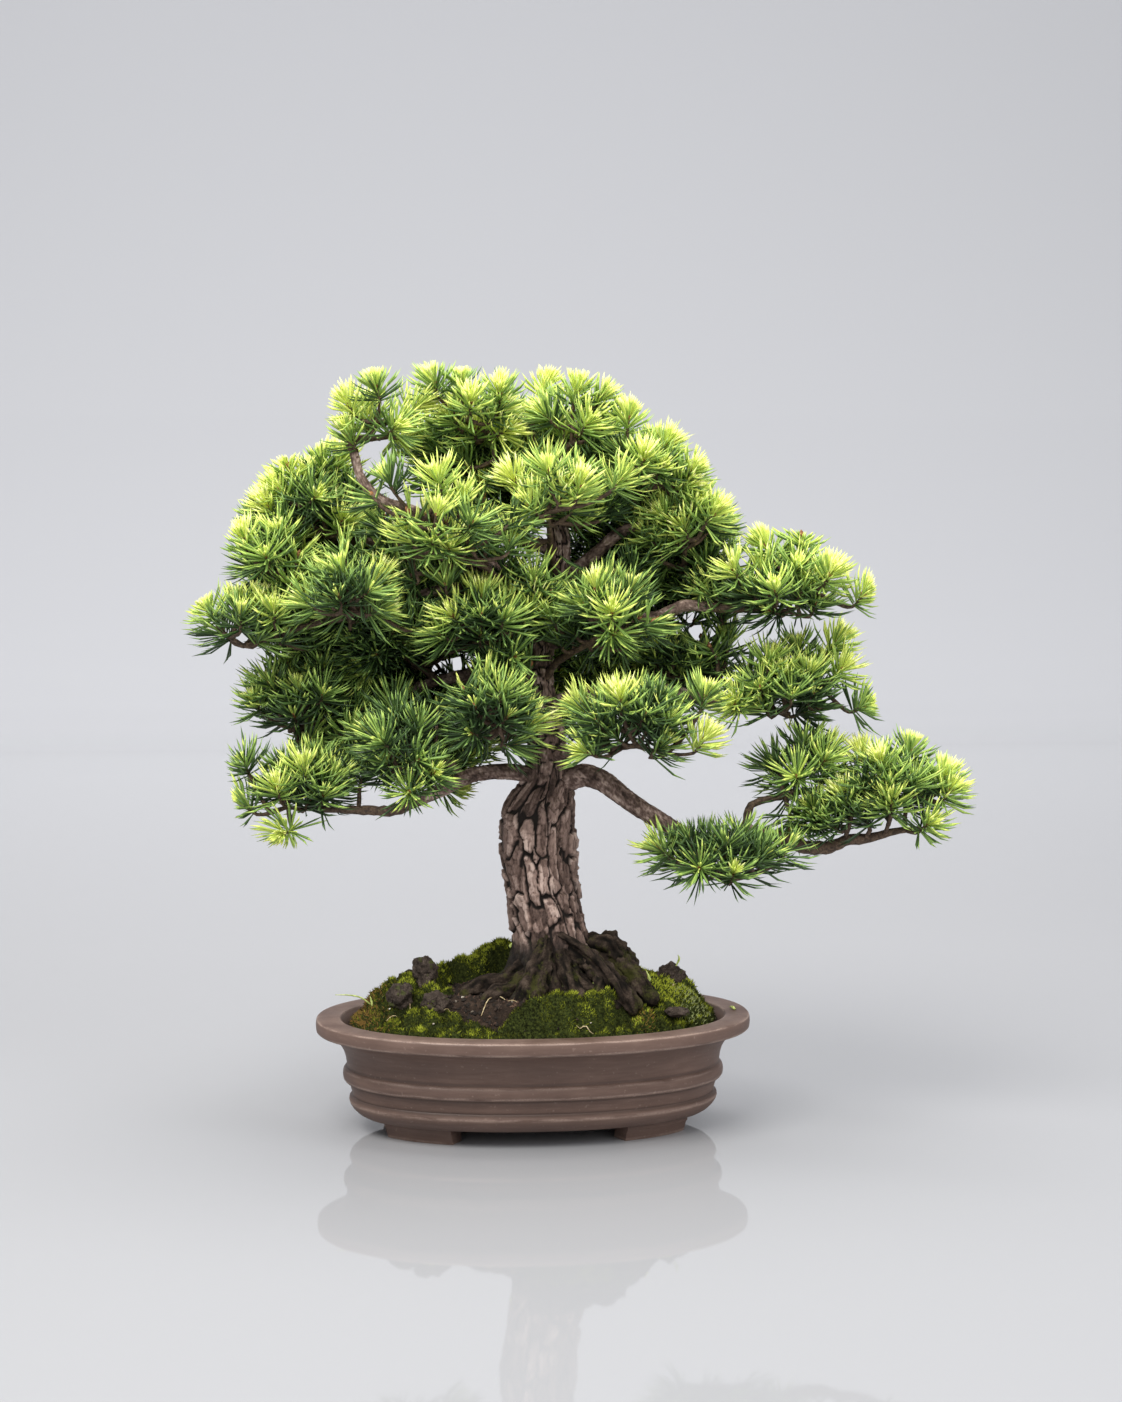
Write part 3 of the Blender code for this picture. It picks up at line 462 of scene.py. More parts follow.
# %% Feet
def foot_angle(point):
    """Degrees from the oval's long end, measured as the outline was drawn."""
    x = abs(point.x - centre[0]) / (first_reach * MM)
    y = abs(point.y - centre[1]) / (half_width(first_reach) * MM)
    return math.degrees(math.atan2(y ** (POT_SQUARENESS / 2), x ** (POT_SQUARENESS / 2)))


def select_soles(height, tolerance=0.2):
    for face in pot.data.polygons:
        flat = abs(face.center.z - height * MM) < tolerance * MM and face.normal.z < -0.5
        face.select = flat and FOOT_SPAN[0] < foot_angle(face.center) < FOOT_SPAN[1] and len(face.vertices) == 4


FOOT_STEPS = ((2.6, 1.0), (0.7, 0.992), (6.7, FOOT_TAPER / 0.992))  # fall, and share of the outline above
edit(pot, "FACE")
close()
select_soles(FOOT_HEIGHT)
bpy.ops.object.mode_set(mode="EDIT")
for fall, share in FOOT_STEPS:
    bpy.ops.mesh.extrude_region_move(TRANSFORM_OT_translate={"value": (0, 0, -fall * MM)})
    bpy.ops.transform.resize(value=(share, share, 1.0), center_override=(centre[0], centre[1], 0))
bpy.ops.mesh.select_all(action="SELECT")
bpy.ops.mesh.normals_make_consistent(inside=False)
close()
bevel = pot.modifiers.new("edges", "BEVEL")
bevel.width = 0.5 * MM
bevel.segments = 2
bevel.limit_method = "ANGLE"
bevel.angle_limit = math.radians(50)
bpy.ops.object.modifier_apply(modifier=bevel.name)
bpy.ops.object.shade_smooth_by_angle(angle=math.radians(38))
lowest = min(vertex.co.z for vertex in pot.data.vertices) / MM
print("pot with feet:", len(pot.data.polygons), "faces, lowest", round(lowest, 2))

# %% [markdown]
# Unglazed clay is matt and brown, with a fine sandy grain. Edges that stand out are lighter, partly rubbed by hands
# and water and partly a painted highlight, and the hollows under the lip and the bands are a painted shade. The
# pattern reads the height on the pot, because the raised bands and the lip run level all round it.


# %% Clay
# Lighter rings along the edges: partly wear rubbed onto them and partly a painted highlight.
WORN_AND_LIT_EDGES = (  # height on the pot in millimetres, reach and amount
    (69.6, 1.5, 0.62), (77.4, 0.9, 0.75), (36.2, 1.5, 0.55), (43.0, 1.3, 0.30), (21.0, 1.8, 0.48), (1.0, 1.6, 0.35),
)
# Darker rings in the hollows under the lip and the bands: a painted shade.
SHADED_HOLLOWS = (  # height, reach, amount and half the width that is fully dark
    (24.4, 2.2, 0.5, 0.4), (33.6, 1.6, 0.35, 0.2), (45.2, 1.8, 0.35, 0.3),
)


def clay_finish():
    finish = Finish("clay")
    place = finish.coordinates()
    level = finish.coordinates((1, 1, 9))
    clouds = finish.noise(place, 38.0, 5.0, 0.6)
    streaks = finish.noise(level, 26.0, 6.0, 0.65)
    grain = finish.noise(place, 1.1, 3.0, 0.6)
    speck = finish.noise(place, 2.6, 2.0, 0.5)
    height = finish.axis("Z") * 1000.0
    base = finish.ramp(clouds * 0.5 + streaks * 0.5, (0.30, (0.104, 0.062, 0.048)), (0.52, (0.145, 0.090, 0.071)),
                       (0.72, (0.195, 0.126, 0.100)))
    # The lighter edges, partly rubbed wear and partly a painted highlight.
    worn_and_lit = finish.near(height, *WORN_AND_LIT_EDGES[0])
    for edge in WORN_AND_LIT_EDGES[1:]:
        worn_and_lit = worn_and_lit.sum("MAXIMUM", worn_and_lit, finish.near(height, *edge))
    worn_and_lit = worn_and_lit * finish.between(streaks, 0.36, 0.58) * finish.between(grain, 0.30, 0.60, 0.45, 1.0)
    worn_and_lit = worn_and_lit + finish.between(speck, 0.66, 0.74, 0.0, 0.22)
    colour = finish.mix(base, (0.42, 0.31, 0.255), worn_and_lit)
    # The hollows under the lip and the bands get a painted shade.
    dark = finish.near(height, *SHADED_HOLLOWS[0])
    for hollow in SHADED_HOLLOWS[1:]:
        dark = dark + finish.near(height, *hollow)
    colour = finish.mix(colour, (0.030, 0.021, 0.018), dark)
    bump = finish.height(grain, 0.10, 0.6)
    bump = finish.height(finish.noise(level, 7.0, 4.0), 0.30, 0.45, bump)
    rough = finish.between(clouds, 0.35, 0.7, 0.50, 0.66)
    return finish.done(Base_Color=colour, Roughness=rough, Normal=bump, Specular_IOR_Level=0.42)


pot.data.materials.append(clay_finish())
carry(pot, "clay", "pot")

# %% [markdown]
# The ground is heaped from the rim up to the trunk. The same height rule as in the model is written again here, so
# that stones, moss and roots sit on it wherever they are seen from.

# %% Ground height
SOIL_EDGE = 73.0
SEAT_HEIGHT = 96.0
SEAT_CENTRE = (14.0, 0.0)
SEAT_RADIUS = 57.0
SEAT_SLOPE = 14.0
SOIL_REACH = INNER - 1.5 - 2.9


def way_to_rim(x, y):
    """How far out a point of the pot lies: 0 in the middle, 1 at the pot's wall."""
    u, v = np.abs(x) / SOIL_REACH, np.abs(y) / half_width(SOIL_REACH)
    return (u**POT_SQUARENESS + v**POT_SQUARENESS) ** (1 / POT_SQUARENESS)


def soil_height(x, y):
    """Height of the heaped soil, in the pot's own frame."""
    x, y = np.asarray(x, float), np.asarray(y, float)
    share = way_to_rim(x, y)
    heaped = SOIL_EDGE + (SEAT_HEIGHT - SOIL_EDGE) * blend(0.0, 0.46, 1.0 - share)
    lumps = 1.1 * np.sin(0.11 * x + 0.6) * np.cos(0.13 * y - 0.4) + 0.6 * np.sin(0.29 * x - 0.17 * y)
    heaped = heaped - (1.0 + 0.55 * lumps) * blend(0.0, 0.2, 1.0 - share)
    away = np.hypot(x - SEAT_CENTRE[0], y - SEAT_CENTRE[1])
    return SEAT_HEIGHT + (heaped - SEAT_HEIGHT) * blend(SEAT_RADIUS, SEAT_RADIUS + SEAT_SLOPE, away)


print("soil at the rim, half way and the middle:", soil_height([127, 60, 14], [0, 0, 0]).round(1))

# %% [markdown]
# The soil is dark and crumbly. A disc of rings is laid over the height rule and roughened twice: soft clods first,
# then crumbs, which also stand out as real grains further on.

# %% Soil
SOIL_RINGS = 92
SOIL_SPOKES = 260


def oval_place(spoke, share):
    """Across and back in the pot for an angle in radians and a share of the way to the rim."""
    cosine, sine = np.cos(spoke), np.sin(spoke)
    x = share * SOIL_REACH * np.copysign(np.abs(cosine) ** (2 / POT_SQUARENESS), cosine)
    y = share * half_width(SOIL_REACH) * np.copysign(np.abs(sine) ** (2 / POT_SQUARENESS), sine)
    return x, y


def ground_points():
    shares = 1.0 - (1.0 - np.linspace(0.0, 1.0, SOIL_RINGS)) ** 1.25
    spokes = 2 * math.pi * np.arange(SOIL_SPOKES) / SOIL_SPOKES
    share, spoke = np.meshgrid(np.maximum(shares, 0.002), spokes, indexing="ij")
    x, y = oval_place(spoke.ravel(), share.ravel())
    return x, y, share.ravel()


def clod_height(x, y):
    """The soil's soft clods, for the bed and for the crumbs that lie on it."""
    clods = roughness(on_sheet(x, y), 11.0, 3, 3)
    return 1.9 * clods * np.abs(clods) ** 0.3


x, y, share = ground_points()
fine_clods = roughness(on_sheet(x, y), 2.6, 8, 2)
inward = blend(1.0, 0.95, share)
z = soil_height(x, y) + (clod_height(x, y) + 0.75 * fine_clods) * inward
faces = grid_faces(SOIL_RINGS, SOIL_SPOKES)[:, ::-1]
soil = mesh_piece("soil_bed", np.column_stack((x, y, z)), faces, [], turned=False)


def earth_finish():
    finish = Finish("earth")
    place = finish.coordinates()
    lumps = finish.noise(place, 9.0, 5.0, 0.65)
    grain = finish.noise(place, 1.2, 4.0, 0.7)
    colour = finish.ramp(lumps * 0.6 + grain * 0.4, (0.32, (0.010, 0.007, 0.005)), (0.50, (0.030, 0.019, 0.013)),
                         (0.70, (0.085, 0.055, 0.038)))
    bump = finish.height(grain, 0.9, 1.0)
    return finish.done(Base_Color=colour, Roughness=0.93, Normal=bump, Specular_IOR_Level=0.25)


earth = earth_finish()
soil.data.materials.append(earth)
carry(soil, "soil", "soil")

# %% [markdown]
# The trunk and boughs are tapering limbs with a course of their own. A smooth curve through a few measured points
# gives it, as a grower bends wire, and the bark is a sheet wrapped round it.

# %% Limbs
TRUNK_COURSE = (  # across, back, up, radius
    (10, 0, 96.3, 31.0), (11, 0, 103, 29.0), (12.5, 0, 112, 27.0), (13, 0, 124, 26.0), (11.5, 0, 138, 25.5),
    (7, 0, 160, 25.0), (2.5, 0, 182, 25.5), (1.5, 0, 204, 26.0), (2.5, 0, 220, 25.0), (5.5, 0, 231, 21.5),
    (10, 0, 243, 17.0), (10, 1, 258, 14.5), (8, 2, 278, 12.5), (4, 3, 300, 11.0), (3, 4, 322, 10.0),
    (8, 5, 349, 9.0), (15, 5, 376, 8.0), (18, 3, 404, 6.8), (13, 0, 431, 5.4), (5, -2, 456, 4.2),
    (-2, -3, 474, 3.2),
)
ROOTS = (  # direction in degrees (0 to the right, -90 to the front), reach at the ground, width in radians
    (-118, 15.0, 0.30), (-68, 20.0, 0.34), (-22, 27.0, 0.36), (38, 21.0, 0.36), (108, 16.0, 0.40),
    (178, 9.0, 0.40),
)
ROOT_FALL = 17.0
BOUGHS = {  # carrier, first radius, last radius, points
    "bough_low_right": ("trunk", 8.5, 4.4, (
        (12, 0, 232), (30, -8, 244), (46, -15, 242), (66, -22, 228), (87, -28, 215), (108, -31, 204),
        (127, -29, 203), (146, -25, 209))),
    "bough_low_right_spur": ("bough_low_right", 3.6, 2.6, (
        (92, -29, 212), (98, -42, 203), (104, -52, 196))),
    "bough_low_left": ("trunk", 6.0, 4.2, (
        (8, 0, 243), (-18, -14, 248), (-42, -27, 247), (-62, -37, 238), (-80, -42, 231))),
    "bough_mid_left": ("trunk", 5.2, 3.6, (
        (6, 3, 306), (-28, 6, 314), (-62, 12, 309), (-88, 16, 301))),
    "bough_left_far": ("trunk", 5.0, 3.0, (
        (8, 5, 352), (-26, -14, 369), (-60, -26, 372), (-94, -32, 362), (-128, -34, 354))),
    "bough_shoulder_left": ("trunk", 5.6, 3.6, (
        (14, 5, 372), (-30, 22, 386), (-66, 24, 395), (-96, 20, 402), (-122, 16, 404))),
    "bough_upper_left": ("trunk", 5.0, 3.0, (
        (18, 3, 398), (-22, -16, 408), (-58, -30, 417), (-84, -36, 426), (-102, -37, 433), (-114, -35, 446),
        (-119, -33, 462))),
    "bough_upper_right": ("trunk", 5.4, 3.6, (
        (17, 5, 376), (40, -8, 394), (58, -14, 410), (78, -12, 418))),
    "bough_right_upper": ("trunk", 5.8, 3.8, (
        (5, 5, 334), (40, -6, 342), (69, -12, 350), (86, -14, 354), (102, -16, 361), (118, -16, 360))),
    "bough_right_middle": ("trunk", 5.4, 3.6, (
        (6, 3, 292), (46, 16, 300), (86, 16, 302), (118, 8, 296))),
    "bough_front_right": ("trunk", 5.4, 3.8, (
        (10, 1, 254), (26, -24, 262), (44, -40, 266))),
    "bough_front_left": ("trunk", 4.2, 3.0, (
        (9, 2, 272), (2, -22, 282), (-10, -40, 286))),
    "bough_back_low": ("trunk", 5.2, 3.6, (
        (10, 2, 262), (8, 30, 270), (4, 58, 276))),
    "bough_back_left": ("trunk", 4.8, 3.2, (
        (4, 4, 318), (-18, 34, 330), (-44, 58, 338))),
    "bough_back_right": ("trunk", 4.8, 3.2, (
        (11, 5, 358), (38, 34, 370), (66, 54, 376))),
}


def smooth_course(points, spacing):
    """Points a set distance apart on a smooth curve through the given ones. Extra columns are carried along."""
    points = np.asarray(points, float)
    padded = np.vstack((2 * points[0] - points[1], points, 2 * points[-1] - points[-2]))
    fine = [points[:1]]
    t = np.arange(1, 13)[:, None] / 12
    for p0, p1, p2, p3 in zip(padded, padded[1:], padded[2:], padded[3:]):
        fine.append(0.5 * (2 * p1 + (p2 - p0) * t + (2 * p0 - 5 * p1 + 4 * p2 - p3) * t**2
                           + (3 * p1 - p0 - 3 * p2 + p3) * t**3))
    fine = np.vstack(fine)
    lengths = np.concatenate(([0.0], np.cumsum(np.linalg.norm(np.diff(fine[:, :3], axis=0), axis=1))))
    count = max(2, round(lengths[-1] / spacing))
    places = np.linspace(0.0, lengths[-1], count + 1)
    return np.column_stack([np.interp(places, lengths, column) for column in fine.T])


def limb_course(name, spacing):
    """A limb's points and radii."""
    if name == "trunk":
        return smooth_course(TRUNK_COURSE, spacing)
    _, first, last, points = BOUGHS[name]
    course = smooth_course(points, spacing)
    return np.column_stack((course, np.linspace(first, last, len(course))))


print("trunk length, mm:", round(len(limb_course("trunk", 1.0)) - 1))

# %% [markdown]
# Old pine bark breaks into long plates that the growing wood pushes apart. Between them are dark cracks, and each
# plate is stepped and flaky. So the relief is worked out from two layers of cells, large plates and small flakes,
# and kept on the mesh for the finish: how open the crack is, the plate's own shade, and the flake's, which carries
# a painted shade in the flakes' small cracks and a painted highlight on raised ridges.


# %% Bark relief
def bark_relief(round_mm, along_mm, girth, plate=(11.0, 21.0), seed=5, depth=1.0):
    """Height of the bark in millimetres and its three marks, round and along a limb."""
    columns = max(3, round(girth / plate[0]))
    sheet = on_sheet(round_mm, along_mm)
    bend_round = 3.6 * roughness(sheet, 15.0, seed, 3) * plate[0] / 11.0
    bend_along = 9.0 * roughness(sheet, 13.0, seed + 9, 3) * plate[1] / 21.0
    u = (round_mm + bend_round) * columns / girth
    v = (along_mm + bend_along) / plate[1] + 0.5 * (np.floor(u) % 2)
    crack, value, right, above = cells(u, v, columns, seed)
    open_crack = blend(0.03, 0.20, crack)
    small_columns = columns * 3
    flake_crack, flake, _, flake_above = cells(
        (round_mm + 0.6 * bend_round) * small_columns / girth, (along_mm + bend_along) / plate[1] * 3.4,
        small_columns, seed + 20)
    open_flake = blend(0.02, 0.20, flake_crack)
    tilt = 0.9 * right * (value - 0.35) + 1.1 * above * (0.7 - value)
    ridges = roughness(on_sheet(round_mm, along_mm * 0.30), 3.6, seed + 5, 3)
    height = -2.6 * (1 - open_crack) + open_crack * (3.4 * (value - 0.45) + 1.7 * tilt)
    height += open_crack * (0.9 * (open_flake - 1) + 1.4 * (flake - 0.5) + 0.7 * flake_above + 0.9 * ridges)
    height += 0.45 * roughness(sheet, 2.4, seed + 3, 2)
    # The flake's shade, darker in the flakes' small cracks and lighter on raised ridges: painted shade and highlight.
    shade = flake * (0.35 + 0.65 * open_flake) + 0.25 * ridges
    return height * depth, np.column_stack((open_crack * (0.55 + 0.45 * open_flake), value, shade))


def ring_ways(course):
    """The two directions across a course at each of its points, carried along without twisting."""
    along = unit(np.gradient(course[:, :3], axis=0))
    side_ways, side = [], np.array(Vector(along[0]).orthogonal().normalized())
    for way in along:
        side = side - way * side.dot(way)
        side /= np.linalg.norm(side)
        side_ways.append(side)
    side_ways = np.array(side_ways)
    return side_ways, np.cross(along, side_ways)


def round_points(course, sides):
    """For a sheet wrapped round a course: each point's row, its angle and its way out."""
    side, other = ring_ways(course)
    row, spoke = np.meshgrid(np.arange(len(course)), np.arange(sides), indexing="ij")
    row, angle = row.ravel(), (2 * math.pi * spoke / sides).ravel()
    return row, angle, np.cos(angle)[:, None] * side[row] + np.sin(angle)[:, None] * other[row]


strip = np.arange(160.0)
test_marks = bark_relief(strip, strip * 0.5, 160.0)[1]
print("crack share of a test strip:", round(float((test_marks[:, 0] < 0.5).mean()), 2))

# %% [markdown]
# The trunk's rings lie level, as in the model, and its foot spreads into roots. The sheet has about one point for
# each millimetre, which is enough for a crack to have a floor and two walls.

# %% Trunk
TRUNK_ROUND = 190
OLD_RADIUS = 25.5  # of the thick lower trunk, round which the plates are laid out
YOUNG_RADIUS = 9.0  # of the thin upper trunk


def trunk_rows():
    """Heights of the trunk's rings, closer together where the bark is deep."""
    rows, height = [], TRUNK_COURSE[0][2] - 2.0
    while height < TRUNK_COURSE[-1][2] - 1.5:
        rows.append(height)
        height += 0.95 if height < 240 else 1.5
    return np.array([*rows, TRUNK_COURSE[-1][2] - 1.5])


def trunk_radius(radius, angle, height):
    """The trunk's radius in a direction, with its roots spreading at the ground and shallow flutes above."""
    fall = np.exp(-(np.maximum(height, TRUNK_COURSE[0][2]) - TRUNK_COURSE[0][2]) / ROOT_FALL)
    for direction, reach, width in ROOTS:
        away = (angle - math.radians(direction) + math.pi) % (2 * math.pi) - math.pi
        radius = radius + reach * fall * np.exp(-((away / width) ** 2))
    return radius * (1 + 0.035 * np.sin(3 * angle + height / 26) + 0.02 * np.sin(5 * angle - height / 17))


rows = trunk_rows()
fine = smooth_course(TRUNK_COURSE, 1.0)
spine = np.column_stack([np.interp(rows, fine[:, 2], fine[:, column]) for column in (0, 1, 3)])
height, angle = np.meshgrid(rows, 2 * math.pi * np.arange(TRUNK_ROUND) / TRUNK_ROUND, indexing="ij")
height, angle = height.ravel(), angle.ravel()
core = np.repeat(spine, TRUNK_ROUND, axis=0)
reach = trunk_radius(core[:, 2], angle, height)
drawn = angle + 0.38 * np.sin(angle + math.radians(20))  # narrower plates on the right of the front
relief, marks = bark_relief(drawn * OLD_RADIUS, height, 2 * math.pi * OLD_RADIUS, (12.5, 30.0))
thin, thin_marks = bark_relief(angle * YOUNG_RADIUS, height, 2 * math.pi * YOUNG_RADIUS, (6.5, 9.0), 31, 0.45)
old = blend(262, 236, height)
foot = blend(128, 104, height)
relief = old * relief + (1 - old) * thin
marks = old[:, None] * marks + (1 - old[:, None]) * thin_marks
fibres = roughness(on_sheet(angle * 26, height * 0.35), 3.4, 12, 3)
relief = relief * (1 - 0.75 * foot) + 1.5 * fibres * foot
marks[:, 2] = marks[:, 2] * (1 - foot) + (0.5 + 0.5 * fibres) * foot
reach = reach + relief * blend(474, 462, height)
points = np.column_stack((core[:, 0] + reach * np.cos(angle), core[:, 1] + reach * np.sin(angle), height))
trunk = mesh_piece("trunk_bark", points, grid_faces(len(rows), TRUNK_ROUND), [], marks=marks)
edit(trunk)
bpy.ops.mesh.select_all(action="SELECT")
bpy.ops.mesh.fill_holes(sides=0)
close()
print("trunk rows:", len(rows), "points:", len(points))

# %% [markdown]
# The finish of the bark reads the marks that were kept on the mesh, so a crack is dark just where it is deep: the
# bark's own dark fissure with painted shade in it. The plates are a greyish pink brown, some weathered pale, and low
# down the roots are almost black with damp.


# %% Bark finish
def bark_finish(name, damp=True, pale=1.0):
    finish = Finish(name)
    crack, plate, flake = finish.parts("marks")
    place = finish.coordinates()
    cloud = finish.noise(place, 16.0, 4.0, 0.6)
    grain = finish.noise(finish.coordinates((1, 1, 0.45)), 1.5, 4.0, 0.7)
    shade = plate * 0.36 + flake * 0.42 + grain * 0.62 + cloud * 0.14 - 0.14
    colour = finish.ramp(shade, (0.26, (0.048 * pale, 0.030 * pale, 0.024 * pale)),
                         (0.50, (0.165 * pale, 0.106 * pale, 0.085 * pale)),
                         (0.72, (0.340 * pale, 0.235 * pale, 0.195 * pale)),
                         (0.92, (0.640 * pale, 0.480 * pale, 0.410 * pale)))
    # Near black deep in the cracks: the fissures' own dark colour with painted shade on it.
    colour = finish.mix((0.012, 0.008, 0.006), colour, finish.between(crack, 0.10, 0.85))
    if damp:
        low = finish.between(finish.axis("Z") * 1000.0 + cloud * 16.0, 128.0, 146.0, 1.0, 0.0)
        wet = finish.ramp(grain * 0.6 + cloud * 0.4, (0.34, (0.008, 0.006, 0.005)), (0.56, (0.030, 0.021, 0.016)),
                          (0.76, (0.078, 0.060, 0.046)))
        mossy = finish.between(cloud * 0.7 + grain * 0.3, 0.50, 0.62) * low * 0.75
        colour = finish.mix(colour, wet, low)
        colour = finish.mix(colour, (0.062, 0.070, 0.018), mossy)
    bump = finish.height(grain, 0.8, 1.0)
    return finish.done(Base_Color=colour, Roughness=0.8, Normal=bump, Specular_IOR_Level=0.35)


old_bark = bark_finish("old_bark")
trunk.data.materials.append(old_bark)
carry(trunk, "trunk_bark", "trunk")

# %% [markdown]
# Boughs have thinner, scalier bark. Each is the same wrapped sheet on its own course, with a rounded tip, and it
# starts inside its carrier, so that the joint is closed from every side.


# %% Boughs
BOUGH_PLATE = (5.0, 8.0)  # width and length of a bough's scales
BOUGH_RELIEF = 0.13  # of the trunk's


def wrapped(course, round_count, seed):
    """Points, faces and marks of a barked limb along a course of points and radii."""
    row, angle, out = round_points(course, round_count)
    steps = np.concatenate(([0.0], np.cumsum(np.linalg.norm(np.diff(course[:, :3], axis=0), axis=1))))
    girth = 2 * math.pi * course[:, 3].mean()
    relief, marks = bark_relief(angle * girth / (2 * math.pi), steps[row], girth, BOUGH_PLATE, seed, BOUGH_RELIEF)
    # Less painted shade in the boughs' shallower cracks.
    marks[:, 0] = 0.62 + 0.38 * marks[:, 0]
    swell = roughness(np.column_stack((np.cos(angle) * 6, np.sin(angle) * 6, steps[row])), 11.0, seed, 2)
    reach = course[row, 3] * (1 + 0.09 * swell) + relief
    return course[row, :3] + reach[:, None] * out, grid_faces(len(course), round_count), marks


def rounded_tip(course, steps=4):
    """Adds a few rings that close a limb's end in a dome."""
    way = course[-1, :3] - course[-2, :3]
    way /= np.linalg.norm(way)
    radius = course[-1, 3]
    rings = [(*(course[-1, :3] + way * radius * math.sin(a)), max(0.03, radius * math.cos(a)))
             for a in np.linspace(0, math.pi / 2, steps + 1)[1:]]
    return np.vstack((course, rings))


bough_bark = bark_finish("bough_bark", damp=False, pale=0.82)
for number, name in enumerate(BOUGHS):
    course = limb_course(name, 1.25)
    count = max(16, round(2 * math.pi * course[0, 3] / 1.15))
    points, faces, marks = wrapped(rounded_tip(course), count, 50 + number)
    piece = mesh_piece(name.replace("bough", "bark"), points, faces, [bough_bark], marks=marks)
    carry(piece, "bough_bark", name)

# %% [markdown]
# The needles grow in masses, and each mass keeps to its own rounded space. The rule is the model's own: a stem
# leaves the bough or the trunk, twigs branch from it towards sites that are spread evenly, and each twig ends in a
# shoot. Here there are many more twigs than in the model, and each shoot has its full coat of needles.

# %% Masses
MASSES = {  # the limb whose tip or side the stem meets, centre, half sizes, seed
    "mass_apex": ("trunk", (-34, -6, 483), (44, 46, 37), 1),
    "mass_apex_left": ("bough_upper_left", (-100, -26, 483), (34, 42, 37), 2),
    "mass_apex_right": ("trunk@0.93", (27, -6, 481), (36, 44, 37), 3),
    "mass_apex_back": ("trunk@0.87", (-14, 54, 458), (64, 44, 46), 4),
    "mass_shoulder_right": ("trunk@0.86", (77, -16, 449), (37, 46, 38), 5),
    "mass_right_brow": ("bough_upper_right", (104, -14, 412), (37, 46, 35), 6),
    "mass_centre_upper": ("trunk@0.80", (10, -48, 430), (50, 38, 38), 7),
    "mass_centre_left": ("bough_upper_left@0.42", (-58, -60, 408), (54, 38, 42), 8),
    "mass_left_crown": ("bough_shoulder_left", (-156, 2, 427), (39, 46, 36), 9),
    "mass_left_brow": ("bough_shoulder_left@0.93", (-146, 50, 392), (50, 40, 38), 10),
    "mass_left_outer": ("bough_left_far@0.97", (-171, -26, 388), (34, 38, 29), 11),
    "mass_left_far": ("bough_left_far", (-188, -34, 343), (48, 38, 26), 12),
    "mass_left_middle": ("bough_left_far@0.80", (-120, -60, 366), (46, 36, 32), 13),
    "mass_left_inner": ("bough_mid_left@0.75", (-104, 20, 344), (58, 44, 36), 14),
    "mass_low_left_upper": ("bough_mid_left", (-160, 2, 285), (43, 44, 33), 15),
    "mass_low_left_outer": ("bough_low_left", (-152, -38, 235), (49, 42, 37), 16),
    "mass_low_left_inner": ("bough_low_left@0.60", (-88, -62, 266), (42, 40, 40), 17),
    "mass_low_left_back": ("bough_mid_left@0.55", (-90, 46, 262), (56, 44, 42), 18),
    "mass_front_left": ("bough_front_left", (-26, -62, 290), (40, 40, 40), 19),
    "mass_front_right": ("bough_front_right", (66, -66, 280), (58, 44, 38), 20),
    "mass_centre_low": ("trunk@0.62", (-32, -44, 348), (50, 40, 32), 21),
    "mass_centre_right": ("trunk@0.66", (50, -48, 354), (44, 38, 36), 22),
    "mass_right_upper": ("bough_right_upper", (168, -20, 368), (59, 46, 42), 23),
    "mass_right_middle": ("bough_right_middle", (170, -6, 298), (57, 48, 42), 24),
    "mass_low_right_crown": ("bough_low_right@0.97", (184, -14, 244), (36, 40, 39), 25),
    "mass_low_right_outer": ("bough_low_right", (241, -24, 231), (54, 42, 39), 26),
    "mass_low_right_hanging": ("bough_low_right_spur", (122, -56, 190), (59, 38, 30), 27),
    "mass_back_left": ("bough_back_left", (-76, 78, 350), (58, 46, 50), 28),
    "mass_back_right": ("bough_back_right", (92, 68, 386), (58, 48, 48), 29),
    "mass_back_low": ("bough_back_low", (6, 86, 294), (62, 44, 46), 30),
    "mass_back_low_right": ("bough_right_middle@0.62", (96, 58, 302), (46, 44, 38), 31),
}
MASS_NAMES = list(MASSES)
CENTRES = np.array([row[1] for row in MASSES.values()], float)
SIZES = np.array([row[2] for row in MASSES.values()], float)
MASS_SQUARENESS = 2.6  # 2 is an ellipsoid, more is fuller at its corners


def depth_in(points, margin=0.0):
    """How far out in each mass's space each point lies, 1 at its skin."""
    sizes = np.maximum(0.34 * SIZES, SIZES - margin)
    offsets = np.abs(np.asarray(points, float)[:, None, :] - CENTRES) / sizes
    return (offsets**MASS_SQUARENESS).sum(axis=2) ** (1 / MASS_SQUARENESS)


def room_in(points, margin=0.0):
    """The same for the whole crown, where neighbouring masses melt together."""
    return -np.log(np.exp(-3.0 * depth_in(points, margin)).sum(axis=1)) / 3.0


LOW_STEM = (  # the stem that shows under the lowest mass on the right: across, back, up, radius
    (144, -25, 208, 4.4), (160, -26, 206, 4.6), (180, -27, 199, 4.6), (198, -26, 197, 4.8), (214, -24, 202, 3.8),
    (228, -24, 203, 3.2), (244, -26, 208, 2.6), (262, -24, 210, 1.6),
)


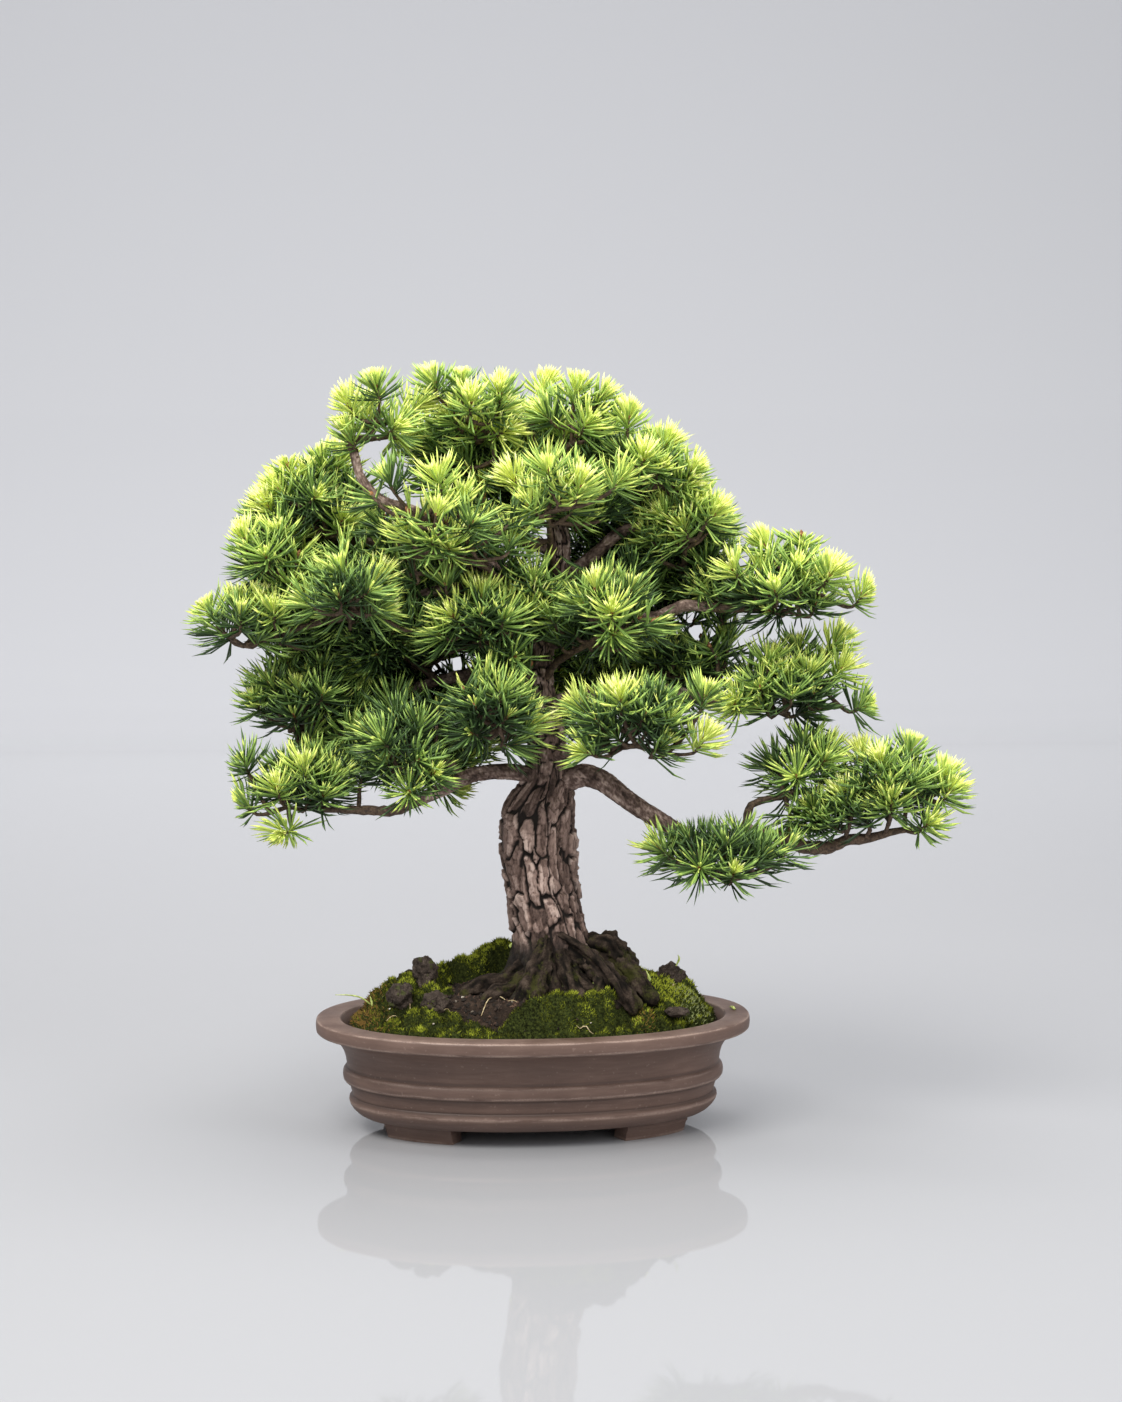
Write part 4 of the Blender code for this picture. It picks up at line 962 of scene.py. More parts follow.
def make_stem(name):
    """A mass's stem, from its limb to the middle of the mass."""
    if name == "mass_low_right_outer":
        return smooth_course(LOW_STEM, 3.5)
    carrier, centre, half_sizes, _ = MASSES[name]
    centre = Vector(centre)
    limb_name, at, share = carrier.partition("@")
    limb = limb_course(limb_name, 17.0) if limb_name != "trunk" else np.array(TRUNK_COURSE, float)
    if at:
        place = float(share) * (len(limb) - 1)
        index = min(int(place), len(limb) - 2)
        point = Vector(limb[index, :3]).lerp(Vector(limb[index + 1, :3]), place - index)
        radius = limb[index, 3] + (limb[index + 1, 3] - limb[index, 3]) * (place - index)
        along = Vector(limb[index + 1, :3] - limb[index, :3]).normalized()
        reach = centre - point
        across = (reach - along * reach.dot(along)).normalized()
        way = (across + 0.85 * along).normalized() if reach.dot(along) > 0 else across
        start, first = point + way * 0.4 * radius, min(3.0, 0.7 * radius)
        turn_start = point + way * radius
    else:
        way = UP if limb_name == "trunk" else Vector(limb[-1, :3] - limb[-2, :3]).normalized()
        start, first = Vector(limb[-1, :3]) - way * 3.0, min(4.8, limb[-1, 3] * 1.02)
        turn_start = Vector(limb[-1, :3])
    span = (centre - turn_start).length
    low = centre - UP * 0.25 * half_sizes[2]
    turn = turn_start + way * min(0.35 * span, 16.0)
    end = low + (low - turn) * 0.12
    course = smooth_course([start, turn_start + way * 3.0, turn, turn.lerp(low, 0.55), end], 3.5)
    return np.column_stack((course, np.linspace(first, 1.6, len(course))))


stems = {name: make_stem(name) for name in MASSES}
print("masses:", len(MASSES), "longest stem, mm:", round(3.5 * max(len(stem) for stem in stems.values())))

# %% [markdown]
# The shoots that face the viewer were set where the real tree has them. They are written as places in the picture,
# and each is carried along its line of sight until it meets the first mass, so that it sits on a real limb and looks
# right from the side as well. A letter says what kind it is: f a fresh one with a bright candle, m a plain one with
# a small candle, d a dark star of old needles.

# %% Shoots that face the viewer
SHOOTS_IN_VIEW = {
    "f": ((380, 388), (357, 404), (405, 402), (440, 384), (461, 384), (500, 393), (541, 384), (573, 392), (590, 398),
          (357, 436), (417, 428), (458, 428), (490, 445), (606, 424), (628, 420), (640, 457), (682, 468), (704, 512),
          (642, 502), (292, 466), (322, 462), (276, 505), (249, 540), (350, 508), (505, 541), (421, 560), (453, 563),
          (600, 590), (575, 488), (802, 537), (774, 545), (822, 573), (852, 592), (740, 567), (508, 668), (640, 676),
          (664, 686), (622, 700), (693, 738), (907, 752), (866, 758), (884, 762), (938, 778), (852, 796), (826, 640),
          (672, 480), (716, 520), (527, 420), (470, 402), (335, 462)),
    "m": ((216, 612), (240, 620), (275, 614), (320, 600), (347, 574), (366, 604), (263, 702), (301, 694), (250, 738),
          (327, 738), (341, 748), (281, 790), (256, 802), (292, 818), (345, 828), (427, 768), (441, 782), (467, 694),
          (520, 722), (567, 700), (591, 706), (547, 548), (412, 560), (441, 576), (397, 484), (441, 484), (526, 610),
          (452, 630), (427, 650), (722, 590), (777, 592), (767, 664), (799, 655), (831, 668), (742, 698), (717, 648),
          (891, 803), (821, 808), (941, 790), (884, 834), (852, 838), (918, 820),
          (905, 838), (672, 848), (730, 872), (779, 850), (795, 884), (655, 420), (300, 520),
          (310, 545), (380, 640), (372, 690), (600, 640), (640, 620), (670, 590), (560, 440), (610, 480), (540, 505),
          (585, 540), (630, 545), (680, 545), (560, 650), (480, 600), (850, 700), (700, 700), (650, 745), (600, 745)),
    "d": ((403, 700), (465, 528), (506, 522), (802, 752), (780, 770), (377, 545), (330, 560), (290, 590), (340, 640),
          (310, 650), (280, 640), (360, 780), (390, 745), (315, 770), (300, 740), (410, 790), (395, 605), (480, 640),
          (545, 600), (570, 560), (540, 640), (590, 610), (640, 580), (610, 560), (690, 620), (750, 640), (790, 700),
          (810, 610), (700, 580), (520, 480), (600, 450), (560, 720), (640, 720), (840, 826), (870, 822), (760, 800),
          (772, 806), (790, 808), (806, 812), (850, 812), (890, 810), (820, 822),
          (380, 500), (270, 560), (250, 770), (320, 800), (480, 730), (500, 740)),
}
FOCAL = LENS / SENSOR * PICTURE[1]
FORWARD = aim.normalized()
RIGHTWARD = FORWARD.cross(UP).normalized()
ABOVE = RIGHTWARD.cross(FORWARD)
SHOOT_MARGIN = {"f": 23.0, "m": 25.0, "d": 28.0}  # from a mass's skin to the shoot's foot
SHOOT_DROP = {"f": 15, "m": 12, "d": 6}  # pixels from the middle of a tuft, where it was read, down to its foot


def line_of_sight(x, y):
    """The direction, in the tree's frame, in which the camera sees a point of the picture."""
    return (FORWARD * FOCAL + RIGHTWARD * (x - PICTURE[0] / 2) + ABOVE * (PICTURE[1] / 2 - y)).normalized()


SIGHT_STEPS = np.arange(1380.0, 1760.0, 2.0)  # millimetres from the camera, through the whole crown


def site_in_view(x, y, margin):
    """The nearest place on that line where a shoot has room, and its mass."""
    line = np.array(CAMERA_PLACE) + SIGHT_STEPS[:, None] * np.array(line_of_sight(x, y))
    depth = depth_in(line, margin)
    inside = np.nonzero(depth.min(axis=1) < 1.0)[0]
    step = inside[0] if len(inside) else int(depth.min(axis=1).argmin())
    return Vector(line[step]), MASS_NAMES[int(depth[step].argmin())], float(depth[step].min())


placed = {name: [] for name in MASSES}
missed = 0
FURTHEST_MISS = 2.2  # a tuft read further from every mass than this is left out
for kind, places in SHOOTS_IN_VIEW.items():
    for x, y in places:
        site, name, depth = site_in_view(x, y + SHOOT_DROP[kind], SHOOT_MARGIN[kind])
        if depth < FURTHEST_MISS:
            placed[name].append((site, kind))
        else:
            missed += 1
print("shoots in view:", sum(map(len, placed.values())), "missed:", missed)

# %% [markdown]
# In some places the real crown is open: a bough shows between the tufts, or the sky does. They are written as places
# in the picture too. Whatever would grow across such a place in front of the bough is left out, and all of it where
# sky shows.

# %% Open places
OPEN_PLACES = (  # across and down in the picture, radius in pixels, and how far back it stays open
    (360, 462, 6, -32), (362, 478, 7, -32), (372, 490, 7, -32), (385, 497, 7, -32), (400, 503, 7, -31),
    (416, 509, 7, -30), (432, 515, 7, -28), (447, 521, 6, -26), (300, 546, 5, 10), (318, 547, 5, 10), (336, 546, 5, 12),
    (354, 543, 6, 14), (370, 543, 6, 16), (480, 484, 6, -20), (492, 490, 7, -14), (503, 496, 7, -8), (584, 559, 7, -7),
    (597, 549, 7, -9), (610, 538, 7, -11), (622, 529, 6, -12), (560, 566, 8, 0), (575, 572, 6, 0), (426, 592, 6, -26),
    (442, 588, 6, -24), (460, 587, 6, -20), (640, 617, 6, -11), (654, 613, 7, -12), (668, 608, 7, -13),
    (684, 604, 7, -14), (440, 668, 7, 300), (456, 664, 7, 300), (470, 662, 6, 300), (448, 676, 7, 10),
    (464, 674, 7, 10), (436, 684, 6, 300), (541, 650, 9, -8), (545, 668, 10, -8), (551, 686, 9, -8),
    (690, 618, 7, 300), (696, 632, 8, 300), (712, 634, 6, 300), (722, 556, 5, 300), (744, 561, 6, 300),
    (386, 516, 5, 300), (780, 702, 6, -2), (795, 706, 6, -2),
    (590, 766, 8, 300), (492, 770, 7, 300), (508, 778, 7, 300), (740, 644, 6, 300), (786, 838, 5, -26),
    (800, 844, 5, -26), (815, 847, 5, -26), (828, 846, 4, -26),
)


def seen_at(points):
    """Where the camera sees points of the tree's frame, in the picture's pixels."""
    offsets = np.asarray(points, float) - CAMERA_PLACE
    away = offsets @ np.array(FORWARD)
    return np.column_stack((PICTURE[0] / 2 + FOCAL * (offsets @ np.array(RIGHTWARD)) / away,
                            PICTURE[1] / 2 - FOCAL * (offsets @ np.array(ABOVE)) / away))


def blocks_view(points, extra=0.0):
    """Whether each point lies in front of an open place."""
    seen, blocked = seen_at(points), np.zeros(len(points), bool)
    for x, y, radius, back in OPEN_PLACES:
        near = np.hypot(seen[:, 0] - x, seen[:, 1] - y) < radius + extra
        blocked |= near & (np.asarray(points)[:, 1] < back)
    return blocked


print("the trunk's foot is seen at", seen_at([(10, 0, 96)]).round(0))

# %% [markdown]
# The rest of each mass is filled by the model's rule. Of many candidates, the one that is furthest from all earlier
# shoots is taken each time, and a twig joins it to the nearest point that grew before it. Its shoot leans away from
# the middle of the mass and up to the light.

# %% Grow the shoots
SHOOT_SPACING = 12.5
MOST_SHOOTS = 34
OPEN_MASSES = {"mass_low_right_hanging": 13, "mass_left_far": 18}
TOP_BY_RULE = 484.0  # above it only the listed shoots, so that the top is uneven
SHORTEST_TWIG = 5.0
CANDIDATES = 900  # places tried in each mass
SHOOT_ROOM = 31.0  # kept for a shoot between its place and the edge of its mass
LEAST_INNER = 0.36  # share of a small mass's half sizes in which shoots are set all the same


def twig_to(name, site, nodes, chance):
    """The twig that joins a site to what grew before, and the way its shoot points."""
    centre = Vector(MASSES[name][1])
    near = min(nodes, key=lambda node: (site - node).length + 0.35 * max(0.0, node.z - site.z)
               + 100 * ((site - node).length < SHORTEST_TWIG))
    middle = near.lerp(site, 0.55) - UP * 0.07 * (site - near).length
    stray = Vector([chance.uniform(-0.45, 0.45) for _ in range(3)])
    lean = 0.55 * (site - centre).normalized() + 0.95 * UP + 0.3 * (site - middle).normalized() + stray
    return [near, middle, site], lean.normalized()


def kind_for(site, height, chance):
    """Fresh shoots stand high and far out, dark ones low and within: partly the needles' age, partly painted light high
    on the crown and painted shade within it.
    """
    high = height + (site.z - 330) / 200 + chance.uniform(-0.5, 0.5)
    return "f" if high > 0.9 else "m" if high > 0.2 else "d"


def grow(name):
    """All shoots of a mass (site, axis, twig and kind) and the places where more twigs may start."""
    chance = random.Random(100 + MASSES[name][3])
    centre, half_sizes = np.array(MASSES[name][1], float), np.array(MASSES[name][2], float)
    index = MASS_NAMES.index(name)
    nodes = [Vector(point) for point in stems[name][4::4, :3]]
    shoots = []

    def add(site, kind):
        path, axis = twig_to(name, site, nodes, chance)
        shoots.append((site, axis, path, kind))
        nodes.append(path[1])

    for site, kind in placed[name]:
        add(site, kind)
    ways = unit(np.array([[chance.gauss(0, 1) for _ in range(3)] for _ in range(CANDIDATES)]))
    inner = np.maximum(LEAST_INNER * half_sizes, half_sizes - SHOOT_ROOM)
    reach = np.array([chance.uniform(0.45, 1.0) for _ in range(len(ways))]) ** 0.6
    sites = centre + ways * inner * reach[:, None]
    depth = depth_in(sites)
    others = np.delete(depth, index, axis=1).min(axis=1)
    sites = sites[(depth[:, index] < others + 0.05) & (sites[:, 2] < TOP_BY_RULE) & ~blocks_view(sites, 5.0)]
    free = np.full(len(sites), 1e9)
    for site, *_ in shoots:
        free = np.minimum(free, np.linalg.norm(sites - np.array(site), axis=1))
    while len(shoots) < OPEN_MASSES.get(name, MOST_SHOOTS) and len(sites):
        best = int(free.argmax())
        if free[best] < SHOOT_SPACING:
            break
        site = Vector(sites[best])
        high = (site.z - centre[2]) / half_sizes[2] + 0.5 * float(np.linalg.norm((sites[best] - centre) / half_sizes))
        add(site, kind_for(site, high, chance))
        free = np.minimum(free, np.linalg.norm(sites - sites[best], axis=1))
    return shoots, nodes


grown = {name: grow(name) for name in MASSES}
crown = {name: shoots for name, (shoots, nodes) in grown.items()}
print("shoots in the masses, with those in view:", sum(map(len, crown.values())))

# %% [markdown]
# A real crown is one body of needles, with no clear sky between its masses. So more shoots are set between them,
# where the masses melt together, and these are mostly dark stars of old needles in painted shade, because little
# light reaches them.

# %% Shoots between the masses
MOST_BETWEEN = 620
BETWEEN_SPACING = 11.5
BETWEEN_CANDIDATES = 16000
CROWN_MIDDLE, CROWN_REACH = (-36, 24, 352), (180, 74, 122)


def fill_between():
    chance = random.Random(71)
    low, high = (CENTRES - SIZES).min(axis=0), (CENTRES + SIZES).max(axis=0)
    sites = np.array([[chance.uniform(a, b) for a, b in zip(low, high)] for _ in range(BETWEEN_CANDIDATES)])
    within = (((sites - CROWN_MIDDLE) / CROWN_REACH) ** 2).sum(axis=1) < 1.0
    sites = sites[(np.where(within, room_in(sites, 8.0), room_in(sites, 28.0)) < 1.0) & ~blocks_view(sites, 5.0)]
    sites = sites[sites[:, 2] < TOP_BY_RULE - 10]
    taken = np.array([shoot[0] for shoots in crown.values() for shoot in shoots])
    free = np.concatenate([np.linalg.norm(part[:, None] - taken, axis=2).min(axis=1)
                           for part in np.array_split(sites, 8)])
    nearest = depth_in(sites).argmin(axis=1)
    for _ in range(MOST_BETWEEN):
        best = int(free.argmax())
        if free[best] < BETWEEN_SPACING:
            break
        name, site = MASS_NAMES[nearest[best]], Vector(sites[best])
        path, axis = twig_to(name, site, grown[name][1], chance)
        # Set low, so mostly dark: painted shade within the crown.
        crown[name].append((site, axis, path, kind_for(site, -0.45, chance)))
        grown[name][1].append(path[1])
        free = np.minimum(free, np.linalg.norm(sites - sites[best], axis=1))


fill_between()
kinds = [shoot[3] for shoots in crown.values() for shoot in shoots]
print("shoots:", len(kinds), {kind: kinds.count(kind) for kind in "fmd"})

# %% [markdown]
# A pine's needles come in pairs from a small sheath, set in a spiral round the shoot. The low ones are old, long and
# stand out flat, and the ones at the tip are young and point forward. In spring a candle stands in the middle: a
# tight bundle of short, bright needles out of an orange-brown bud. Each needle is a slim three-sided blade with one
# bend in it, which is nine small faces. A needle that would leave the space of its mass is made shorter.

# %% Needle rule
NEEDLE_WIDTH = 1.7
NEEDLE_THICK = 0.85
GOLDEN = math.radians(137.508)
KINDS = {  # pairs, needle length, shoot length, needles in the candle, their length, the coat's and candle's shades
    "f": (25, 23.0, 11.5, 24, 15.5, (2, 3, 3, 4), (4, 5, 5, 6)),
    "m": (27, 25.0, 11.5, 15, 12.0, (1, 2, 2, 3, 3), (4, 4, 5)),
    "d": (28, 26.0, 10.0, 5, 8.0, (0, 1, 1, 2), (3, 4)),
}
# From dark to light: partly old needles to young candles, partly painted shade within the crown and painted light high
# and far out on it.
SHADES = {  # plain base colours, dealt out by spray
    "needle_deep": (0.036, 0.070, 0.024), "needle_dark": (0.088, 0.160, 0.044), "needle_mid": (0.250, 0.395, 0.092),
    "needle_leaf": (0.430, 0.590, 0.130), "needle_fresh": (0.690, 0.810, 0.175), "needle_bright": (0.860, 0.930, 0.230),
    "needle_yellow": (0.930, 0.960, 0.380),
}
rng = np.random.default_rng(20)
TIP_STEPS = (1.0, 0.88, 0.76, 0.64, 0.52)  # shares of a needle's length that are tried until its tip is inside
STEP_DOWN = 0.12
SHORTEST_SHARE = 0.45  # a needle cut shorter than this is dropped
OUTER_DEPTH, OUTER_SHARE = 0.85, 0.76  # a shoot this far out keeps at least this share of its needles' length


def spread(values, amount):
    return values * (1 + amount * rng.uniform(-1, 1, np.shape(values)))


def coat(site, axis, kind):
    """Where each needle of a shoot starts, which way it points, its length and its shade."""
    pairs, long, shoot, candle, short, shades, candle_shades = KINDS[kind]
    axis = np.array(axis)
    side = np.array(Vector(axis).orthogonal().normalized())
    other = np.cross(axis, side)
    turn = rng.uniform(0, 2 * math.pi)
    step = np.arange(pairs)
    share = step / (pairs - 1)
    lean = np.radians(spread(100 - 62 * share**0.8, 0.10))
    angle = turn + GOLDEN * step + rng.uniform(-0.1, 0.1, pairs)
    lean, angle = np.repeat(lean, 2), np.repeat(angle, 2)
    fork = np.tile((-1.0, 1.0), pairs)
    angle = angle + fork * rng.uniform(0.04, 0.16, 2 * pairs)
    lean = lean + fork * rng.uniform(-0.08, 0.08, 2 * pairs)
    height = np.repeat(spread(1.0 + shoot * share, 0.05), 2)
    length = spread(np.full(2 * pairs, long), 0.12) * (1 - 0.16 * np.repeat(share, 2))
    # A shoot's low needles a shade darker and its top ones a shade lighter: partly older and younger needles, partly
    # painted shade at the tuft's foot.
    own = rng.choice(shades) + np.where(share > 0.72, 1, np.where(share < 0.26, -1, 0))
    shade = np.clip(np.repeat(own, 2) + rng.choice((-1, 0, 0, 0, 1), 2 * pairs), 0, 5)
    bend = np.repeat(0.34 - 0.16 * share, 2) + rng.uniform(-0.08, 0.12, 2 * pairs)
    # The candle in the middle
    low = np.radians(3 + 24 * np.sqrt((np.arange(candle) + 0.5) / candle))
    lean = np.concatenate((lean, spread(low, 0.2)))
    angle = np.concatenate((angle, turn + GOLDEN * 1.7 * np.arange(candle)))
    height = np.concatenate((height, np.full(candle, shoot + 1.0)))
    length = np.concatenate((length, spread(np.full(candle, short), 0.15)))
    shade = np.concatenate((shade, rng.choice(candle_shades, candle)))
    bend = np.concatenate((bend, np.full(candle, -0.05)))
    out = np.cos(angle)[:, None] * side + np.sin(angle)[:, None] * other
    way = np.sin(lean)[:, None] * out + np.cos(lean)[:, None] * axis
    start = np.array(site) + height[:, None] * axis + 0.9 * out
    curl = axis - way * (way @ axis)[:, None]
    return start, way, curl * bend[:, None], length, shade


def cut_to_space(name, start, way, curl, length):
    """Shortens the needles that would leave their mass, and drops the ones with no room."""
    index = MASS_NAMES.index(name)
    share = np.ones(len(start))
    skin = 1.0 + 0.14 * rng.uniform() ** 1.5  # some tufts stand out further, so that the outline is ragged
    for step in TIP_STEPS:
        tip = start + (way + curl) * (length * share)[:, None]
        outside = room_in(tip) > skin
        share = np.where(outside, np.minimum(share, step - STEP_DOWN), share)
    free = depth_in(start[:1])[0, index] > OUTER_DEPTH
    share = np.where(free, np.maximum(share, OUTER_SHARE), share)
    blocked = np.zeros(len(start), bool)
    for along in (0.25, 0.6, 1.0):
        blocked |= blocks_view(start + (way * along + curl * along**2) * (length * share)[:, None])
    return length * share, (share > SHORTEST_SHARE) & ~blocked


print("shades:", len(SHADES))

# %% [markdown]
# The needles of neighbouring masses are joined into one piece for each part of the crown, and so are their twigs.
# Every piece stays under two hundred thousand triangles.


# %% Needles
def needle_blades(start, way, curl, length):
    """Points and faces of many needles: three at the foot, three at the bend, one at the tip."""
    count = len(start)
    side = unit(np.cross(way, rng.normal(size=(count, 3))))
    back = np.cross(way, side)
    width = spread(np.full(count, NEEDLE_WIDTH), 0.12)[:, None] / 2
    rings = []
    for along, share in ((0.0, 0.70), (0.70, 1.0)):
        middle = start + (way * along + curl * along**2) * length[:, None]
        rings += [middle - side * width * share, middle + side * width * share, middle + back * NEEDLE_THICK * share]
    tip = start + (way + curl) * length[:, None]
    points = np.stack((*rings, tip), axis=1).reshape(-1, 3)
    pattern = ((0, 1, 4), (0, 4, 3), (1, 2, 5), (1, 5, 4), (2, 0, 3), (2, 3, 5), (3, 4, 6), (4, 5, 6), (5, 3, 6))
    return points, copied_faces(pattern, count)[:, ::-1]


PARTS = {
    "crown": ("mass_apex", "mass_apex_left", "mass_apex_right", "mass_apex_back"),
    "shoulder": ("mass_shoulder_right", "mass_right_brow", "mass_centre_upper", "mass_centre_left"),
    "left": ("mass_left_crown", "mass_left_brow", "mass_left_outer", "mass_left_far", "mass_left_middle",
             "mass_left_inner"),
    "low_left": ("mass_low_left_upper", "mass_low_left_outer", "mass_low_left_inner", "mass_low_left_back"),
    "centre": ("mass_front_left", "mass_front_right", "mass_centre_low", "mass_centre_right"),
    "right": ("mass_right_upper", "mass_right_middle", "mass_low_right_crown", "mass_low_right_outer",
              "mass_low_right_hanging"),
    "back": ("mass_back_left", "mass_back_right", "mass_back_low", "mass_back_low_right"),
}


def needle_finish(name, colour):
    return Finish(name, Base_Color=colour, Roughness=0.42, Specular_IOR_Level=0.4).material


needle_materials = [needle_finish(name, colour) for name, colour in SHADES.items()]
for part, names in PARTS.items():
    collected = []
    for name in names:
        for site, axis, _, kind in crown[name]:
            start, way, curl, length, shade = coat(site, axis, kind)
            length, kept = cut_to_space(name, start, way, curl, length)
            collected.append((start[kept], way[kept], curl[kept], length[kept], shade[kept]))
    start, way, curl, length, shade = (np.concatenate(column) for column in zip(*collected))
    points, faces = needle_blades(start, way, curl, length)
    # Most tips one shade lighter: partly the needles' paler tips, partly a painted highlight.
    tip_shade = np.minimum(shade + (rng.uniform(size=len(shade)) < 0.7), len(SHADES) - 1)
    which = np.column_stack([shade] * 6 + [tip_shade] * 3).ravel()
    piece = mesh_piece("needles_" + part, points, faces, needle_materials, which)
    carry(piece, "needles", *names)

# %% [markdown]
# Twigs carry the shoots. They are thin, brown and knobbly from the scars of old needles. Each is a tapering tube on
# the twig's own course.


# %% Twigs
def tube(course, sides):
    """A slim tube from rows of place and radius."""
    row, _, out = round_points(course, sides)
    reach = course[row, 3] * (1 + 0.16 * rng.uniform(-1, 1, len(row)))
    return course[row, :3] + reach[:, None] * out, grid_faces(len(course), sides)


def joined(tubes):
    """One list of points and faces from many."""
    points, faces, count = [], [], 0
    for some_points, some_faces in tubes:
        points.append(some_points)
        faces.append(some_faces + count)
        count += len(some_points)
    return np.vstack(points), np.vstack(faces)


TWIG_STOPS = (0.35, (0.035, 0.022, 0.015)), (0.52, (0.105, 0.066, 0.042)), (0.72, (0.230, 0.155, 0.100))
twig_bark = grain_finish("twig_bark", (2.2, 4.0, 0.7), TWIG_STOPS, (0.4, 0.8), Roughness=0.8)
for part, names in PARTS.items():
    tubes = []
    for name in names:
        tubes.append(tube(rounded_tip(stems[name]), 8))
        for site, axis, path, kind in crown[name]:
            tip = Vector(site) + Vector(axis) * KINDS[kind][2]
            course = smooth_course([*path, tip], 3.0)
            radius = np.interp(np.linspace(0, 1, len(course)), (0.0, 0.6, 1.0), (1.7, 1.35, 1.0))
            tubes.append(tube(rounded_tip(np.column_stack((course, radius)), 2), 6))
    points, faces = joined(tubes)
    carry(mesh_piece("twigs_" + part, points, faces, [twig_bark]), "bough_bark")

# %% [markdown]
# The bud that each candle breaks out of is a small pointed scale-covered cone, orange-brown where light falls on it.

# %% Buds
BUD_PROFILE = ((0.0, 1.2), (1.3, 1.9), (2.8, 1.8), (4.2, 1.2), (5.4, 0.2))  # along and radius
BUD_SIZES = {"f": 1.0, "m": 0.85, "d": 0.8}
BUD_STOPS = (0.38, (0.150, 0.055, 0.020)), (0.56, (0.360, 0.160, 0.060)), (0.74, (0.620, 0.360, 0.170))

tubes = []
for shoots in crown.values():
    for site, axis, path, kind in shoots:
        start = np.array(site) + np.array(axis) * (KINDS[kind][2] - 1.5)
        size = BUD_SIZES[kind]
        rings = [(*(start + np.array(axis) * along * size), radius * size) for along, radius in BUD_PROFILE]
        tubes.append(tube(np.array(rings), 6))
points, faces = joined(tubes)
bud_scales = grain_finish("bud_scales", (1.4, 3.0, 0.6), BUD_STOPS, Roughness=0.6)
carry(mesh_piece("buds", points, faces, [bud_scales]), "needles")

# %% [markdown]
# The floor is a pale glossy sheet that runs far back and curves up into the backdrop, so no edge shows behind the
# tree, and it mirrors the pot softly. It isn't part of the object.


# %% Floor and light
FLOOR_WIDTH, FLOOR_FRONT, FLOOR_BACK = 16.0, -5.0, 2.6  # metres
BEND_RADIUS, BENDS, WALL_HEIGHT = 2.5, 16, 5.0


def make_floor():
    deselect()
    bpy.ops.mesh.primitive_plane_add(size=1.0, location=(0, 0, 0))
    floor = bpy.context.object
    floor.name = "floor"
    for vertex in floor.data.vertices:
        vertex.co.x *= FLOOR_WIDTH
        vertex.co.y = FLOOR_FRONT if vertex.co.y < 0 else FLOOR_BACK
    edit(floor, "EDGE")
    close()
    for edge in floor.data.edges:
        edge.select = all(floor.data.vertices[index].co.y > 0 for index in edge.vertices)
    bpy.ops.object.mode_set(mode="EDIT")
    for step in range(1, BENDS + 1):
        old, new = (math.pi / 2 * (step + offset) / BENDS for offset in (-1, 0))
        move = (0, BEND_RADIUS * (math.sin(new) - math.sin(old)), BEND_RADIUS * (math.cos(old) - math.cos(new)))
        bpy.ops.mesh.extrude_region_move(TRANSFORM_OT_translate={"value": move})
    bpy.ops.mesh.extrude_region_move(TRANSFORM_OT_translate={"value": (0, 0, WALL_HEIGHT)})
    close()
    bpy.ops.object.shade_smooth()
    return floor


floor = make_floor()


def floor_finish():
    finish = Finish("floor", Roughness=0.035, Specular_IOR_Level=0.42)
    # Darker near the tree and lighter up the backdrop: a painted fall of light across the sheet.
    far = finish.between(finish.axis("Y"), 0.2, 3.4)
    return finish.done(Base_Color=finish.mix((0.345, 0.346, 0.358), (0.715, 0.715, 0.742), far))


floor.data.materials.append(floor_finish())

world = bpy.data.worlds.new("studio")
bpy.context.scene.world = world
world.use_nodes = True
world.node_tree.nodes["Background"].inputs["Color"].default_value = (0.96, 0.98, 1.0, 1.0)
world.node_tree.nodes["Background"].inputs["Strength"].default_value = 0.60


def soft_light(name, place, target, size, power, colour=(1, 1, 1)):
    light = bpy.data.lights.new(name, "AREA")
    light.shape = "RECTANGLE"
    light.size, light.size_y = size
    light.energy = power
    light.color = colour
    lamp = bpy.data.objects.new(name, light)
    lamp.location = place
    lamp.rotation_mode = "QUATERNION"
    lamp.rotation_quaternion = (Vector(target) - Vector(place)).to_track_quat("-Z", "Y")
    lamp.visible_glossy = name == "key"  # the glossy floor mirrors none of the others
    bpy.context.scene.collection.objects.link(lamp)


soft_light("key", (-0.9, -1.3, 2.2), (0, 0, 0.3), (1.6, 1.2), 66, (1.0, 0.985, 0.95))
soft_light("fill", (1.7, -1.5, 1.3), (0, 0, 0.25), (1.4, 1.4), 24, (0.97, 0.985, 1.0))
soft_light("top", (0.1, 0.2, 2.4), (0, 0, 0.4), (2.0, 1.6), 48)
soft_light("wall", (0, 1.9, 2.9), (0, 5.0, 0.6), (5.0, 0.8), 24)

# %% [markdown]
# Moss grows in cushions. Each bank of it is a sheet laid over the soil's height rule and swelled: high mounds where
# the ground rises, and small round domes all over. Its edges sink into the soil. The fine pile is thousands of short
# leaves, because a bump can't give moss its ragged edge.

